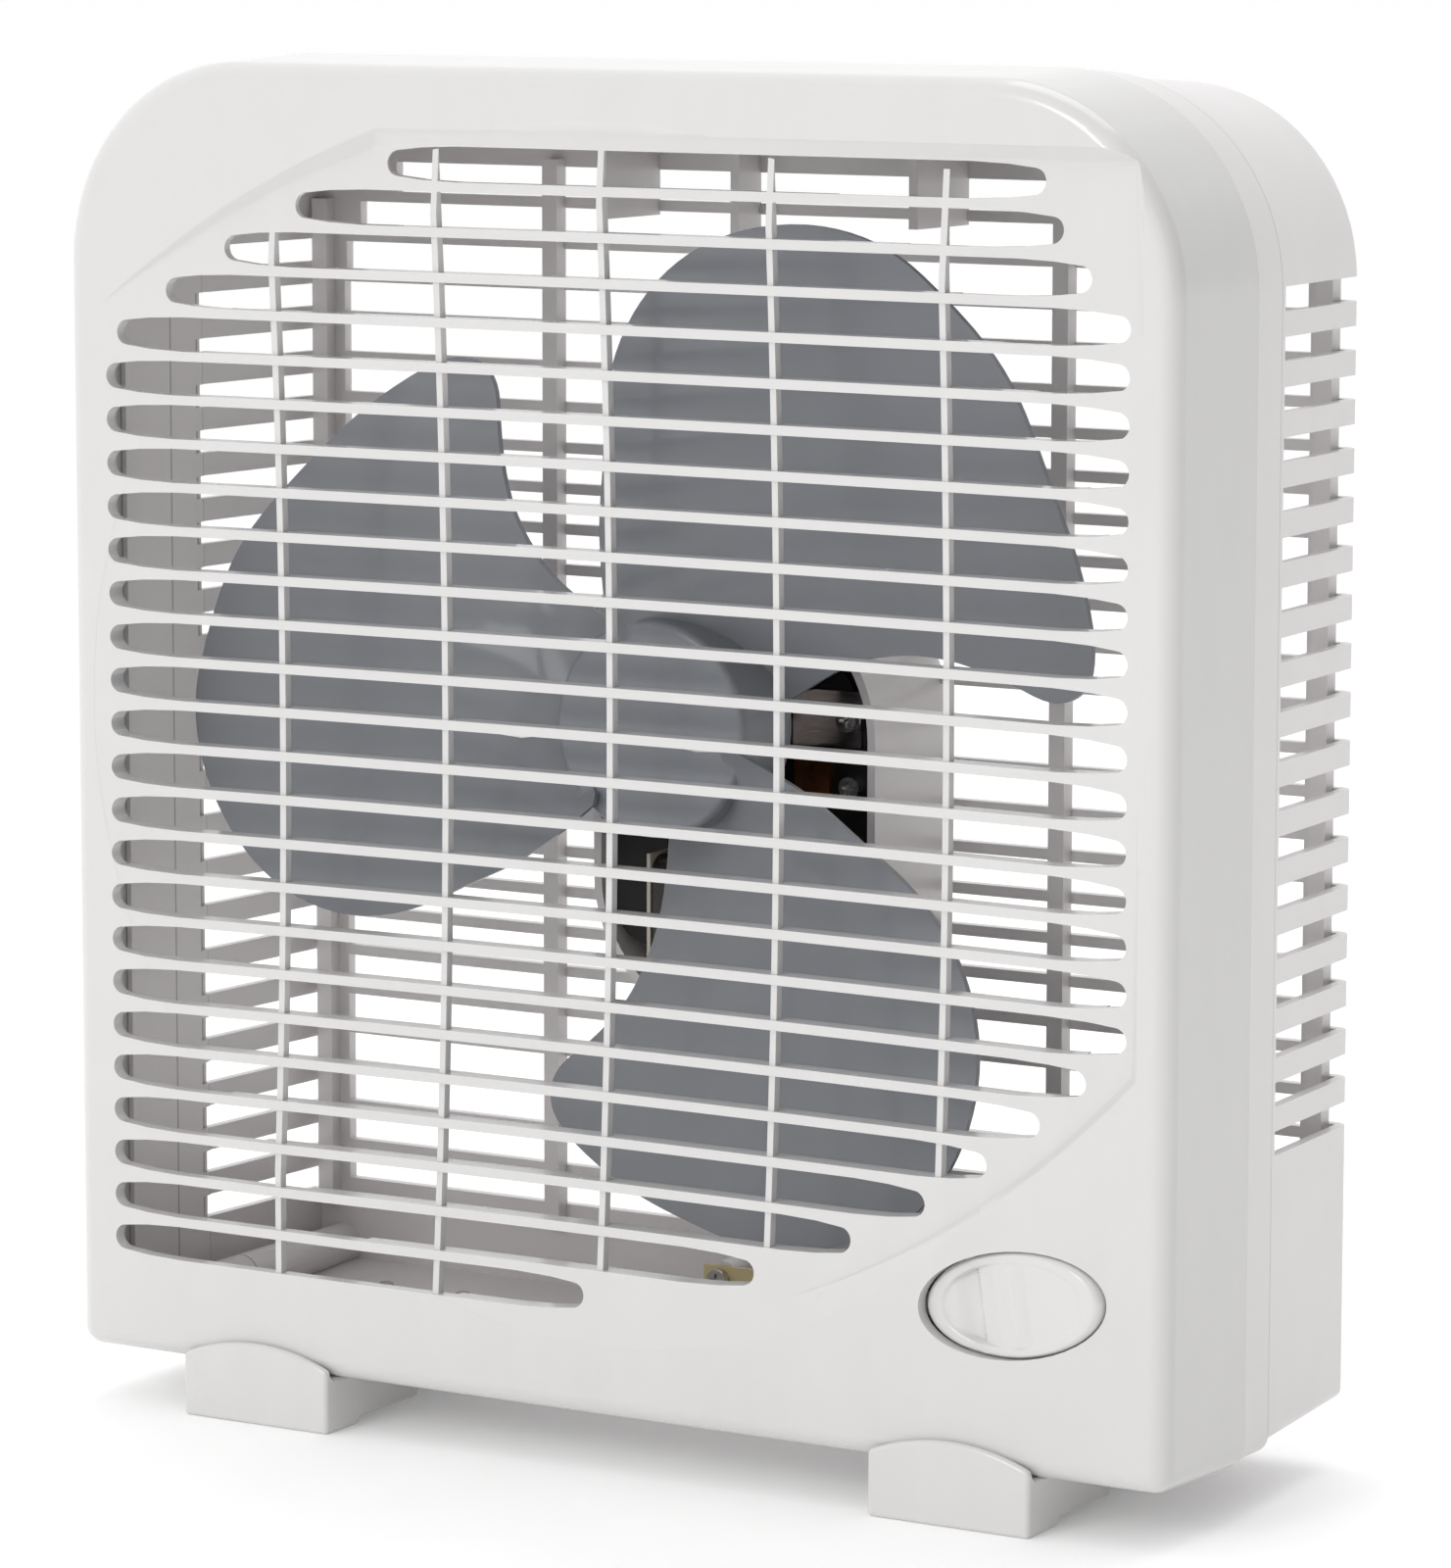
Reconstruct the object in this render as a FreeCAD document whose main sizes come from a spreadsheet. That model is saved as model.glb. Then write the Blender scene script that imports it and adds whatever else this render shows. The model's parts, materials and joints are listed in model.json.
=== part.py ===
import FreeCAD, Part
import math
import os
import Sketcher

# Box fan: a free-standing fan in a flat plastic case. Frame: +X right as seen from the
# front, +Y to the rear, +Z up, origin on the ground under the middle of the case.
# Two lengths are used throughout: "depth" runs to the rear from the face of the front
# cover, and "height" runs up from the axis of the fan.

V = FreeCAD.Vector
doc = FreeCAD.newDocument("box_fan")
parts = {}

# ------------------------------------------------------------ driving dimensions (mm, deg)
DIMS = {
    "front_y": -50.75, "ground_gap": 14.0, "axis_above_base": 167.0,
    # front cover
    "cover_half_width": 156.5, "cover_height": 328.0, "cover_depth": 38.5,
    "cover_draft": 2.2, "top_radius": 50.0, "base_radius": 5.0, "edge_round": 5.0,
    "wall": 2.6, "face_wall": 3.6,
    # grille of the front cover
    "slot_pitch": 11.0, "slot_rows": 26, "slot_half": 4.3, "slot_end_half": 2.7,
    "slot_taper": 20.0, "slot_reach": 144.5, "rib_gap": 47.3, "rib_width": 1.7,
    "rib_back": 0.8, "rib_deep": 2.4, "dish_radius": 150.0, "dish_sag": 6.2,
    "grille_thick": 5.5,
    # shallow scoops of the cover's face, above and below the grille
    "scoop_gap": 9.5, "scoop_top": 147.0, "scoop_low": -147.0, "scoop_reach": 149.0,
    "scoop_inner": 60.0, "scoop_floor": 40.0, "scoop_wall": 48.0,
    "top_hinge": 100.0, "top_lean": 4.6, "low_hinge": 108.0, "low_lean": 2.07, "low_turn": 131.0,
    "left_sweep": 276.5, "left_sweep_x": 30.6, "left_sweep_down": 123.3,
    "right_sweep": 238.5, "right_sweep_x": -32.4, "right_sweep_up": 99.3,
    "corner_row": 9.5, "corner_step": 11.95, "corner_ease": 1.35,
    # rear housing
    "rim_depth": 14.5, "step_inset": 1.0, "shell_depth": 51.0, "shell_draft": 3.5,
    "lip_front": 19.5, "lip_outside": 2.3, "lip_inside": 3.7,
    "vent_pitch": 11.85, "vent_gap": 5.9, "vent_top": 111.8, "vent_reach": 60.0,
    "right_rows": 18, "right_front": 57.0, "left_rows": 22, "left_front": 54.5,
    "left_relief": 50.0, "relief_reach": 154.8,
    "rear_skin": 3.0, "rear_slat": 2.76, "rear_pitch": 10.56, "rear_rows": 26,
    "rear_top": 132.5, "rear_reach": 141.0, "rear_corner": 32.0, "post_gap": 3.0,
    "post_width": 4.6, "post_low": -146.0, "post_top": 122.5, "post_depth": 4.5,
    "rear_rib_gap": 74.5, "rear_rib_width": 4.4, "rear_rib_low": -145.0,
    "rear_rib_top": 134.5, "fin_depth": 26.0, "fin_low": 121.0, "fin_high": 156.6,
    "fin_gap": 45.0, "fin_thick": 2.5, "wire_fin_x": -15.0, "wire_fin_depth": 11.0,
    # motor cup of the rear housing
    "cup_half": 41.0, "cup_top": 31.0, "cup_low": -80.0, "cup_radius": 36.0,
    "cup_front": 65.0, "cup_wall": 2.2,
    # screws between cover and housing
    "boss_radius": 5.5, "boss_top_x": 132.0, "boss_top_z": 137.0, "boss_low_x": 143.0,
    "boss_low_z": -157.5, "screw_radius": 1.9, "screw_play": 0.05, "head_radius": 3.8,
    # rotor
    "hub_radius": 27.0, "hub_front": 25.0, "hub_back": 48.0, 
    "blade_thick": 1.8, "blade_advance": 95.8, "shaft_radius": 3.0, "shaft_front": 28.0,
    "shaft_back": 99.5, "rotor_radius": 15.0, "air_gap": 0.4, "bore_play": 0.03,
    # motor
    "stack_front": 68.0, "stack_depth": 20.0, "stack_half": 37.0, "stack_top": 24.0,
    "stack_low": -62.0, "limb_height": 15.0, "window_half": 21.0, "window_height": 17.0,
    "coil_build": 10.5, "strip": 1.5, "bridge_half": 23.0, "bridge_front": 55.5,
    "bearing_radius": 5.0, "bearing_length": 7.0, "tie_x": 33.0, "stack_round": 32.0,
    "stack_round_low": 12.0, "foot_reach": 36.0, "boss_outer": 7.5, "ring_radius": 13.5,
    # feet
    "foot_half": 22.0, "foot_centre": 100.0, "foot_plate": 2.5, "foot_back": 100.0,
    # switch
    "switch_x": 115.6, "switch_z": -126.0, "oval_long": 25.4, "oval_short": 13.0,
    "switch_tilt": 8.5, "rocker_throw": 12.0, "pivot_depth": 4.5, "pivot_radius": 1.5,
    "switch_back": 10.5, "switch_screw_x": 29.0, "cap_crown": 4.5, "arm_depth": 17.0,
    "contact_gap": 12.0,
    # pieces of the motor and of the wiring
    "bridge_back": 98.0, "strap_half": 7.0, "coil_half": 20.5, "bobbin_wall": 1.0,
    "bobbin_play": 0.2, "ring_in": 17.0, "ring_out": 27.0, "ring_gauge": 1.6,
    "ring_low": 9.0, "ring_high": 20.0, "ring_play": 0.05, "hub_wall": 2.2,
    "blade_middle": 45.04, "blade_lean": 0.094, "blade_mean": 75.0, "blade_start": 8.14,
    "blade_hook": 5.6, "hook_turn": 25.0, "hook_radius": 60.0,
    "inlet_x": 96.0, "inlet_z": -150.0, "gland_radius": 5.0, "gland_seat": 7.0,
    "clamp_x": -14.0, "clamp_z": -149.5, "clamp_depth": 84.0, "clamp_bore": 1.55,
}
sheet = doc.addObject("Spreadsheet::Sheet", "dims")
for row, (alias, size) in enumerate(DIMS.items(), start=1):
    sheet.set(f"A{row}", alias)
    sheet.set(f"B{row}", str(size))
    sheet.setAlias(f"B{row}", alias)
doc.recompute()


def dim(alias):
    """The sheet's value of one driving dimension."""
    return float(sheet.get(alias))


# ------------------------------------------------------------------------ small helpers
def named(text):
    """Put the sheet's name in front of every alias in an expression."""
    words, word = [], ""
    for letter in str(text) + " ":
        if letter.isalnum() or letter in "_.":
            word += letter
            continue
        words.append(f"dims.{word}" if word in DIMS else word)
        words.append(letter)
        word = ""
    return "".join(words).strip()


def bind(thing, **expressions):
    """Bind properties of an object to expressions of the sheet."""
    for name, text in expressions.items():
        thing.setExpression(name.replace("__", "."), named(text))
    return thing


CASE = ("0", "front_y", "ground_gap + axis_above_base")
LOOSE = ("0", "0", "0")


def place(thing, across, depth, height, home=CASE):
    """Put an object at a place across, in depth and in height from a home point."""
    x, y, z = home
    return bind(thing, Placement__Base__x=f"{x} + ({across})",
                Placement__Base__y=f"{y} + ({depth})", Placement__Base__z=f"{z} + ({height})")


def block(name, across, depth, height, home=CASE):
    """A box from three (low, high) pairs of expressions."""
    thing = doc.addObject("Part::Box", name)
    bind(thing, Length=f"({across[1]}) - ({across[0]})", Width=f"({depth[1]}) - ({depth[0]})",
         Height=f"({height[1]}) - ({height[0]})")
    return place(thing, across[0], depth[0], height[0], home)


def rod(name, radius, across, depth, height, home=CASE):
    """A round bar along the depth, from depth[0] to depth[1]."""
    thing = doc.addObject("Part::Cylinder", name)
    thing.Placement.Rotation = FreeCAD.Rotation(V(1, 0, 0), -90)
    bind(thing, Radius=radius, Height=f"({depth[1]}) - ({depth[0]})")
    return place(thing, across, depth[0], height, home)


def upright(name, radius, across, depth, height, home=CASE):
    """A round bar that stands up, from height[0] to height[1]."""
    thing = doc.addObject("Part::Cylinder", name)
    bind(thing, Radius=radius, Height=f"({height[1]}) - ({height[0]})")
    return place(thing, across, depth, height[0], home)


def oval(name, long, short, depth, home=CASE):
    """An upright oval plate along the depth, about the home point."""
    edge = doc.addObject("Part::Ellipse", f"{name}_edge")
    edge.Placement.Rotation = FreeCAD.Rotation(V(1, 0, 0), -90)
    bind(edge, MajorRadius=long, MinorRadius=short)
    place(edge, "0", depth[0], "0", home)
    thing = doc.addObject("Part::Extrusion", name)
    thing.Base = edge
    thing.DirMode = "Custom"
    thing.Dir = V(0, 1, 0)
    thing.Solid = True
    return bind(thing, LengthFwd=f"({depth[1]}) - ({depth[0]})")


def on_switch(thing, depth="0", lean=0.0):
    """Put a piece drawn about the home point on the switch, tilted like it."""
    tilt = FreeCAD.Rotation(V(0, -1, 0), dim("switch_tilt"))
    thing.Placement.Rotation = tilt.multiply(FreeCAD.Rotation(V(0, 0, 1), lean))
    return place(thing, "switch_x", depth, "switch_z")


def fuse(name, things):
    thing = doc.addObject("Part::MultiFuse", name)
    thing.Shapes = things
    thing.Refine = True
    return thing


def cut(name, base, tool):
    thing = doc.addObject("Part::Cut", name)
    thing.Base = base
    thing.Tool = tool
    return thing


def group(name, things):
    """Separate solids that share one node."""
    thing = doc.addObject("Part::Compound", name)
    thing.Links = things
    return thing


def keep(label, thing):
    """Name a finished sub-part."""
    thing.Label = label
    parts[label] = thing
    return thing


def shaped(name, shape):
    """A free-form piece whose shape is worked out from the sheet's values."""
    thing = doc.addObject("Part::Feature", name)
    thing.Shape = shape
    return thing


def at(across, depth, height):
    """A point in the part's frame from plain numbers."""
    return V(across, dim("front_y") + depth,
             dim("ground_gap") + dim("axis_above_base") + height)


# -------------------------------------------------------------- PartDesign sketch helpers
def new_body(name):
    return doc.addObject("PartDesign::Body", name)


def sketch(body, name, plane, offset="0"):
    """A sketch on one of the body's own origin planes, moved along its normal."""
    origin = {item.Role: item for item in body.Origin.OriginFeatures}
    thing = body.newObject("Sketcher::SketchObject", name)
    thing.AttachmentSupport = [(origin[plane], "")]
    thing.MapMode = "FlatFace"
    bind(thing, AttachmentOffset__Base__z=offset)
    return thing


def drive(thing, name, constraint, text):
    """Add a driving constraint whose value follows an expression."""
    index = thing.addConstraint(constraint)
    thing.renameConstraint(index, name)
    thing.setExpression(f"Constraints.{name}", named(text))


def rounded_outline(thing, half, low, high, r_low, r_high):
    """A closed outline with four round corners; each size is (start value, expression)."""
    w, z0, z1, r0, r1 = half[0], low[0], high[0], r_low[0], r_high[0]
    flat, turn = V(0, 0, 1), math.pi / 2
    corners = [(w - r0, z0 + r0, r0, -turn), (w - r1, z1 - r1, r1, 0.0),
               (r1 - w, z1 - r1, r1, turn), (r0 - w, z0 + r0, r0, 2 * turn)]
    lines = [((r0 - w, z0), (w - r0, z0)), ((w, z0 + r0), (w, z1 - r1)),
             ((w - r1, z1), (r1 - w, z1)), ((-w, z1 - r1), (-w, z0 + r0))]
    for (start, end), (cx, cz, radius, angle) in zip(lines, corners):
        thing.addGeometry(Part.LineSegment(V(*start, 0), V(*end, 0)), False)
        circle = Part.Circle(V(cx, cz, 0), flat, radius)
        thing.addGeometry(Part.ArcOfCircle(circle, angle, angle + turn), False)
    for index in range(8):
        thing.addConstraint(Sketcher.Constraint("Tangent", index, 2, (index + 1) % 8, 1))
    for index, way in ((0, "Horizontal"), (2, "Vertical"), (4, "Horizontal"), (6, "Vertical")):
        thing.addConstraint(Sketcher.Constraint(way, index))
    drive(thing, "low_right", Sketcher.Constraint("Radius", 1, r0), r_low[1])
    drive(thing, "high_right", Sketcher.Constraint("Radius", 3, r1), r_high[1])
    thing.addConstraint(Sketcher.Constraint("Equal", 3, 5))
    thing.addConstraint(Sketcher.Constraint("Equal", 1, 7))
    drive(thing, "right", Sketcher.Constraint("DistanceX", -1, 1, 2, 1, w), half[1])
    drive(thing, "left", Sketcher.Constraint("DistanceX", 6, 1, -1, 1, w), half[1])
    drive(thing, "bottom", Sketcher.Constraint("DistanceY", -1, 1, 0, 1, z0), low[1])
    drive(thing, "top", Sketcher.Constraint("DistanceY", -1, 1, 4, 1, z1), high[1])


def case_outline(body, name, depth, inset):
    """The outline of the case at a depth, drawn in from the cover's by an inset."""
    thing = sketch(body, name, "XZ_Plane", f"-(front_y + {depth})")
    step = value(inset)
    low, high = f"ground_gap + ({inset})", f"ground_gap + cover_height - ({inset})"
    rounded_outline(thing, (dim("cover_half_width") - step, f"cover_half_width - ({inset})"),
                    (value(low), low), (value(high), high),
                    (dim("base_radius"), "base_radius"),
                    (dim("top_radius") - step, f"top_radius - ({inset})"))
    return thing


def value(text):
    """The plain number of an expression of aliases and arithmetic."""
    probe = doc.addObject("App::FeaturePython", "probe")
    probe.addProperty("App::PropertyFloat", "Result")
    probe.setExpression("Result", named(text))
    probe.recompute()
    result = probe.Result
    doc.removeObject(probe.Name)
    return result


def pad(body, name, profile, length, draft="0", forward=False):
    """Pad to the rear of the case, or forward."""
    thing = body.newObject("PartDesign::Pad", name)
    thing.Profile = profile
    thing.Reversed = not forward
    return bind(thing, Length=length, TaperAngle=draft)


def pocket(body, name, profile, length, draft="0", forward=False):
    """Cut to the rear of the case, or forward."""
    thing = body.newObject("PartDesign::Pocket", name)
    thing.Profile = profile
    thing.Reversed = forward
    return bind(thing, Length=length, TaperAngle=draft)


def pattern(body, name, original, profile, axis, length, count, reverse=False):
    thing = body.newObject("PartDesign::LinearPattern", name)
    thing.Originals = [original]
    thing.Direction = (profile, [axis])
    thing.Reversed = reverse
    bind(thing, Length=length, Occurrences=count)
    body.Tip = thing
    return thing


def round_edges(body, name, base, radius, wanted):
    """Fillet the edges of a feature that a test picks out."""
    doc.recompute()
    names = [f"Edge{n}" for n, edge in enumerate(base.Shape.Edges, start=1) if wanted(edge)]
    thing = body.newObject("PartDesign::Fillet", name)
    thing.Base = (base, names)
    bind(thing, Radius=radius)
    return thing


def at_depth(edge, depth):
    """True for an edge that lies in the plane at a depth."""
    box = edge.BoundBox
    plane = dim("front_y") + depth
    return abs(box.YMin - plane) < 0.01 and abs(box.YMax - plane) < 0.01


def circles(thing, centres, radius):
    """Circles at (across, height) centres, the height counted from the axis."""
    axis = dim("ground_gap") + dim("axis_above_base")
    for index, (across, height) in enumerate(centres):
        circle = Part.Circle(V(value(across), axis + value(height), 0), V(0, 0, 1), value(radius))
        thing.addGeometry(circle, False)
        drive(thing, f"size{index}", Sketcher.Constraint("Radius", index, value(radius)), radius)


def rectangle(thing, across, height):
    """One rectangle of a sketch from (low, high) pairs in the sketch's own axes."""
    (x0, x1), (z0, z1) = across, height
    corners = [V(x0, z0, 0), V(x1, z0, 0), V(x1, z1, 0), V(x0, z1, 0)]
    for step in range(4):
        thing.addGeometry(Part.LineSegment(corners[step], corners[(step + 1) % 4]), False)


# ------------------------------------------------------------------------- front cover
def slot_ends(height):
    """Left and right end of the grille slot at a height; both follow large sweeps."""
    rise = height + dim("left_sweep_down")
    left = dim("left_sweep_x") - math.sqrt(dim("left_sweep") ** 2 - rise ** 2)
    fall = dim("right_sweep_up") - height
    right = dim("slot_reach")
    if height < 0:
        right = dim("right_sweep_x") + math.sqrt(dim("right_sweep") ** 2 - fall ** 2)
    # the top three slots step back from the round corner
    steps = max(0.0, height / dim("slot_pitch") - dim("corner_row"))
    right -= steps * (dim("corner_step") - dim("corner_ease") * steps)
    return max(left, -dim("slot_reach")), min(right, dim("slot_reach"))


def slot_edge(across, left, right):
    """Half the height of a slot, which narrows towards both of its ends."""
    share = min(max(min(across - left, right - across) / dim("slot_taper"), 0.0), 1.0)
    ease = share * (2.0 - share)
    return dim("slot_end_half") + (dim("slot_half") - dim("slot_end_half")) * ease


def slot_outline(thing, left, right, middle):
    """The outline of one slot: straight flanks that taper to a round end."""
    tip, taper = dim("slot_end_half"), dim("slot_taper")
    xs = [left + tip, left + taper / 2, left + taper,
          right - taper, right - taper / 2, right - tip]
    lower = [V(x, middle - slot_edge(x, left, right), 0) for x in xs]
    upper = [V(x, middle + slot_edge(x, left, right), 0) for x in reversed(xs)]
    path = [Part.LineSegment(a, b) for a, b in zip(lower[:-1], lower[1:])]
    path.append(Part.Arc(lower[-1], V(right, middle, 0), upper[0]))
    path += [Part.LineSegment(a, b) for a, b in zip(upper[:-1], upper[1:])]
    path.append(Part.Arc(upper[-1], V(left, middle, 0), lower[0]))
    thing.addGeometry(path, False)


def dish_profile(thing, offset, flat, reach):
    """Half of a shallow spherical dish, closed on the fan's axis and by a flat."""
    sag, radius = dim("dish_sag"), dim("dish_radius")
    ball = (radius ** 2 + sag ** 2) / (2 * sag)
    centre = dim("front_y") + sag - ball
    axis = dim("ground_gap") + dim("axis_above_base")

    def on_ball(height):
        return V(centre + math.sqrt((ball + offset) ** 2 - height ** 2), axis + height, 0)

    low = V(dim("front_y") + flat, axis, 0)
    high = V(dim("front_y") + flat, axis + reach, 0)
    thing.addGeometry([
        Part.LineSegment(low, high), Part.LineSegment(high, on_ball(reach)),
        Part.Arc(on_ball(reach), on_ball(reach / 2), on_ball(0.0)),
        Part.LineSegment(on_ball(0.0), low)], False)
    thing.addGeometry(Part.LineSegment(V(0, axis, 0), V(10, axis, 0)), True)


def turned(body, kind, name, profile):
    """A full turn about the construction line of a profile."""
    thing = body.newObject(f"PartDesign::{kind}", name)
    thing.Profile = profile
    thing.ReferenceAxis = (profile, ["Axis0"])
    thing.Angle = 360
    return thing


def ball(name, offset):
    """The ball whose rear follows the dish, grown by an offset."""
    thing = doc.addObject("Part::Sphere", name)
    thing.Angle1, thing.Angle2, thing.Angle3 = -90, 90, 360
    radius = "((dish_radius * dish_radius + dish_sag * dish_sag) / (2 * dish_sag))"
    bind(thing, Radius=f"{radius} + {offset}")
    return place(thing, "0", f"dish_sag - {radius}", "0")


def grille_ribs():
    """Five upright ribs behind the fronts of the bars."""
    tall = ("slot_pitch * slot_rows / -2", "slot_pitch * slot_rows / 2")
    bars, slabs = [], []
    for n in range(-2, 3):
        across = (f"{n} * rib_gap - rib_width / 2", f"{n} * rib_gap + rib_width / 2")
        bars.append(block(f"rib_bar_{n + 2}", across, ("rib_back", "dish_sag + 6"), tall))
        slabs.append(block(f"rib_slab_{n + 2}", across, ("rib_back", "rib_back + rib_deep"), tall))
    band = doc.addObject("Part::MultiCommon", "rib_band")
    band.Shapes = [fuse("rib_bars", bars), ball("rib_rear", "rib_back + rib_deep")]
    return cut("grille_ribs", fuse("rib_blanks", [band] + slabs), ball("rib_front", "rib_back"))


def scoop(name, centre, radius, first, last, far, hinge, lean, turn):
    """A wedge cut from the face: deepest along its curved outer wall, fading inwards."""
    body = new_body(f"{name}_body")
    outline = sketch(body, f"{name}_outline", "XZ_Plane", "-(front_y - 1)")
    axis = dim("ground_gap") + dim("axis_above_base")
    middle = ((first[0] + last[0]) / 2 - centre[0], (first[1] + last[1]) / 2 - centre[1])
    scale = radius / math.hypot(*middle)
    on_arc = (centre[0] + middle[0] * scale, centre[1] + middle[1] * scale)
    points = [V(x, axis + z, 0) for x, z in [first, on_arc, last] + far + [first]]
    outline.addGeometry(Part.Arc(*points[:3]), False)
    for begin, end in zip(points[2:], points[3:]):
        outline.addGeometry(Part.LineSegment(begin, end), False)
    pad(body, f"{name}_block", outline, "edge_round + 4", "-scoop_wall")
    # everything in front of a plane that leans back towards the wall
    front = doc.addObject("Part::Box", f"{name}_wedge")
    bind(front, Length="4 * scoop_reach", Width="8 * edge_round", Height="2 * scoop_reach")
    corner = FreeCAD.Placement(V(-2 * dim("scoop_reach"), -8 * dim("edge_round"), 0),
                               FreeCAD.Rotation())
    tip = FreeCAD.Placement(V(0, 0, hinge), FreeCAD.Rotation(V(1, 0, 0), -lean))
    base = FreeCAD.Placement(at(0, 0, 0), FreeCAD.Rotation(V(0, 1, 0), turn))
    front.Placement = base.multiply(tip).multiply(corner)
    wedge = doc.addObject("Part::MultiCommon", name)
    wedge.Shapes = [body, front]
    return wedge


def top_scoop():
    """The scoop above the grille, along the left sweep."""
    x, z = dim("left_sweep_x"), -dim("left_sweep_down")
    radius, reach, top = dim("left_sweep") + dim("scoop_gap"), dim("scoop_reach"), dim("scoop_top")
    first = (x - math.sqrt(radius ** 2 - (top - z) ** 2), top)
    last = (-reach, z + math.sqrt(radius ** 2 - (reach + x) ** 2))
    far = [(-reach, dim("scoop_inner")), (reach, dim("scoop_inner")), (reach, top)]
    return scoop("top_scoop", (x, z), radius, first, last, far, dim("top_hinge"),
                 dim("top_lean"), 0.0)


def low_scoop():
    """The faint scoop below the grille, along the right sweep."""
    x, z = dim("right_sweep_x"), dim("right_sweep_up")
    radius, reach, low = dim("right_sweep") + dim("scoop_gap"), dim("scoop_reach"), dim("scoop_low")
    first = (reach, z - math.sqrt(radius ** 2 - (reach - x) ** 2))
    last = (x + math.sqrt(radius ** 2 - (low - z) ** 2), low)
    far = [(-dim("scoop_inner"), low), (-dim("scoop_inner"), dim("scoop_floor")),
           (reach, dim("scoop_floor"))]
    return scoop("low_scoop", (x, z), radius, first, last, far, dim("low_hinge"),
                 dim("low_lean"), dim("low_turn"))


CORNERS = [(f"{side} * boss_top_x", "boss_top_z") for side in (-1, 1)]
CORNERS += [(f"{side} * boss_low_x", "boss_low_z") for side in (-1, 1)]


def front_cover():
    body = new_body("front_cover_body")
    outline = case_outline(body, "cover_outline", "0", "0")
    solid = pad(body, "cover_block", outline, "cover_depth", "cover_draft")
    round_edges(body, "cover_edge", solid, "edge_round", lambda edge: at_depth(edge, 0.0))
    hollow = case_outline(body, "cover_hollow_outline", "face_wall", "wall")
    pocket(body, "cover_hollow", hollow, "cover_depth", "cover_draft")
    dish = sketch(body, "dish_back_profile", "YZ_Plane")
    dish_profile(dish, dim("grille_thick"), dim("face_wall") / 2, dim("dish_radius") - 2)
    turned(body, "Revolution", "dish_back", dish)
    hole = sketch(body, "dish_front_profile", "YZ_Plane")
    dish_profile(hole, 0.0, -1.0, dim("dish_radius") - 0.5)
    turned(body, "Groove", "dish_front", hole)
    # bosses for the housing screws, with their pilot holes
    bosses = sketch(body, "boss_circles", "XZ_Plane", "-(front_y + face_wall / 2)")
    circles(bosses, CORNERS, "boss_radius")
    pad(body, "bosses", bosses, "cover_depth - face_wall / 2 - 0.2")
    pilots = sketch(body, "pilot_circles", "XZ_Plane", "-(front_y + cover_depth)")
    circles(pilots, CORNERS, "screw_radius + screw_play")
    pocket(body, "pilots", pilots, "22", forward=True)
    # the air slots, row by row
    slots = sketch(body, "slot_outlines", "XZ_Plane", "-(front_y - 1)")
    axis = dim("ground_gap") + dim("axis_above_base")
    for row in range(int(dim("slot_rows"))):
        height = (dim("slot_rows") / 2 - 0.5 - row) * dim("slot_pitch")
        left, right = slot_ends(height)
        slot_outline(slots, left, right, axis + height)
    pocket(body, "slots", slots, "face_wall + dish_sag + grille_thick + 4")
    ribbed = fuse("cover_with_ribs", [body, grille_ribs()])
    scooped = cut("cover_scooped", ribbed, fuse("scoops", [top_scoop(), low_scoop()]))
    # the oval opening of the switch, and two posts that its frame is screwed to
    posts, drills = [], []
    for n, side in enumerate((-1, 1)):
        across = f"{side} * switch_screw_x"
        posts.append(rod(f"switch_post_{n}", "3", across, ("face_wall - 1", "switch_back"), "0",
                         LOOSE))
        drills.append(rod(f"switch_drill_{n}", "1.25 + screw_play", across,
                          ("face_wall + 1", "switch_back + 1"), "0", LOOSE))
    solid = fuse("cover_with_posts", [scooped, on_switch(fuse("switch_posts", posts))])
    hole = oval("switch_hole", "oval_long", "oval_short", ("-8", "switch_back + 1"), LOOSE)
    tools = fuse("switch_cuts", [hole] + drills)
    return keep("front_cover", cut("front_cover_solid", solid, on_switch(tools)))


# ------------------------------------------------------------------------ rear housing
def rear_housing():
    body = new_body("rear_housing_body")
    rim = case_outline(body, "rim_outline", "cover_depth", "step_inset - 1.5")
    pad(body, "rim", rim, "rim_depth")
    shell = case_outline(body, "shell_outline", "cover_depth + rim_depth", "step_inset - 0.5")
    solid = pad(body, "shell", shell, "shell_depth", "-shell_draft")
    rear = dim("cover_depth") + dim("rim_depth") + dim("shell_depth")
    round_edges(body, "rear_edge", solid, "edge_round * 0.8",
                lambda edge: at_depth(edge, rear))
    lip = case_outline(body, "lip_outline", "lip_front", "lip_outside")
    pad(body, "lip", lip, "cover_depth + 1 - lip_front")
    mouth = case_outline(body, "mouth_outline", "lip_front", "lip_inside")
    pocket(body, "mouth", mouth, "cover_depth + rim_depth - lip_front")
    inside = case_outline(body, "inside_outline", "cover_depth + rim_depth",
                          "step_inset + wall - 0.5")
    pocket(body, "inside", inside, "shell_depth - rear_skin", "-shell_draft")
    side_vents(body)
    rear_grille(body)
    motor_cup(body)
    screw_tubes(body)
    return keep("rear_housing", body)


def vent_rows(body, name, rows, front, reach, right):
    """Rows of slots cut outwards through one side wall, from a depth to the rear."""
    profile = sketch(body, f"{name}_outline", "YZ_Plane")
    top = dim("ground_gap") + dim("axis_above_base") + dim("vent_top")
    start = dim("front_y") + dim(front)
    rectangle(profile, (start, start + dim("vent_reach")), (top - dim("vent_gap"), top))
    slot = pocket(body, name, profile, reach, forward=right)
    pattern(body, f"{name}_rows", slot, profile, "V_Axis", f"vent_pitch * ({rows} - 1)", rows,
            reverse=True)


def side_vents(body):
    """Slots in both side walls, open round the corner into the rear wall."""
    vent_rows(body, "right_vent", "right_rows", "right_front", "cover_half_width + 10", True)
    vent_rows(body, "left_vent", "left_rows", "left_front", "cover_half_width + 10", False)
    # the left slots are relieved at their front ends, on the inside
    vent_rows(body, "left_relief", "left_rows", "left_relief", "relief_reach", False)


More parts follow.
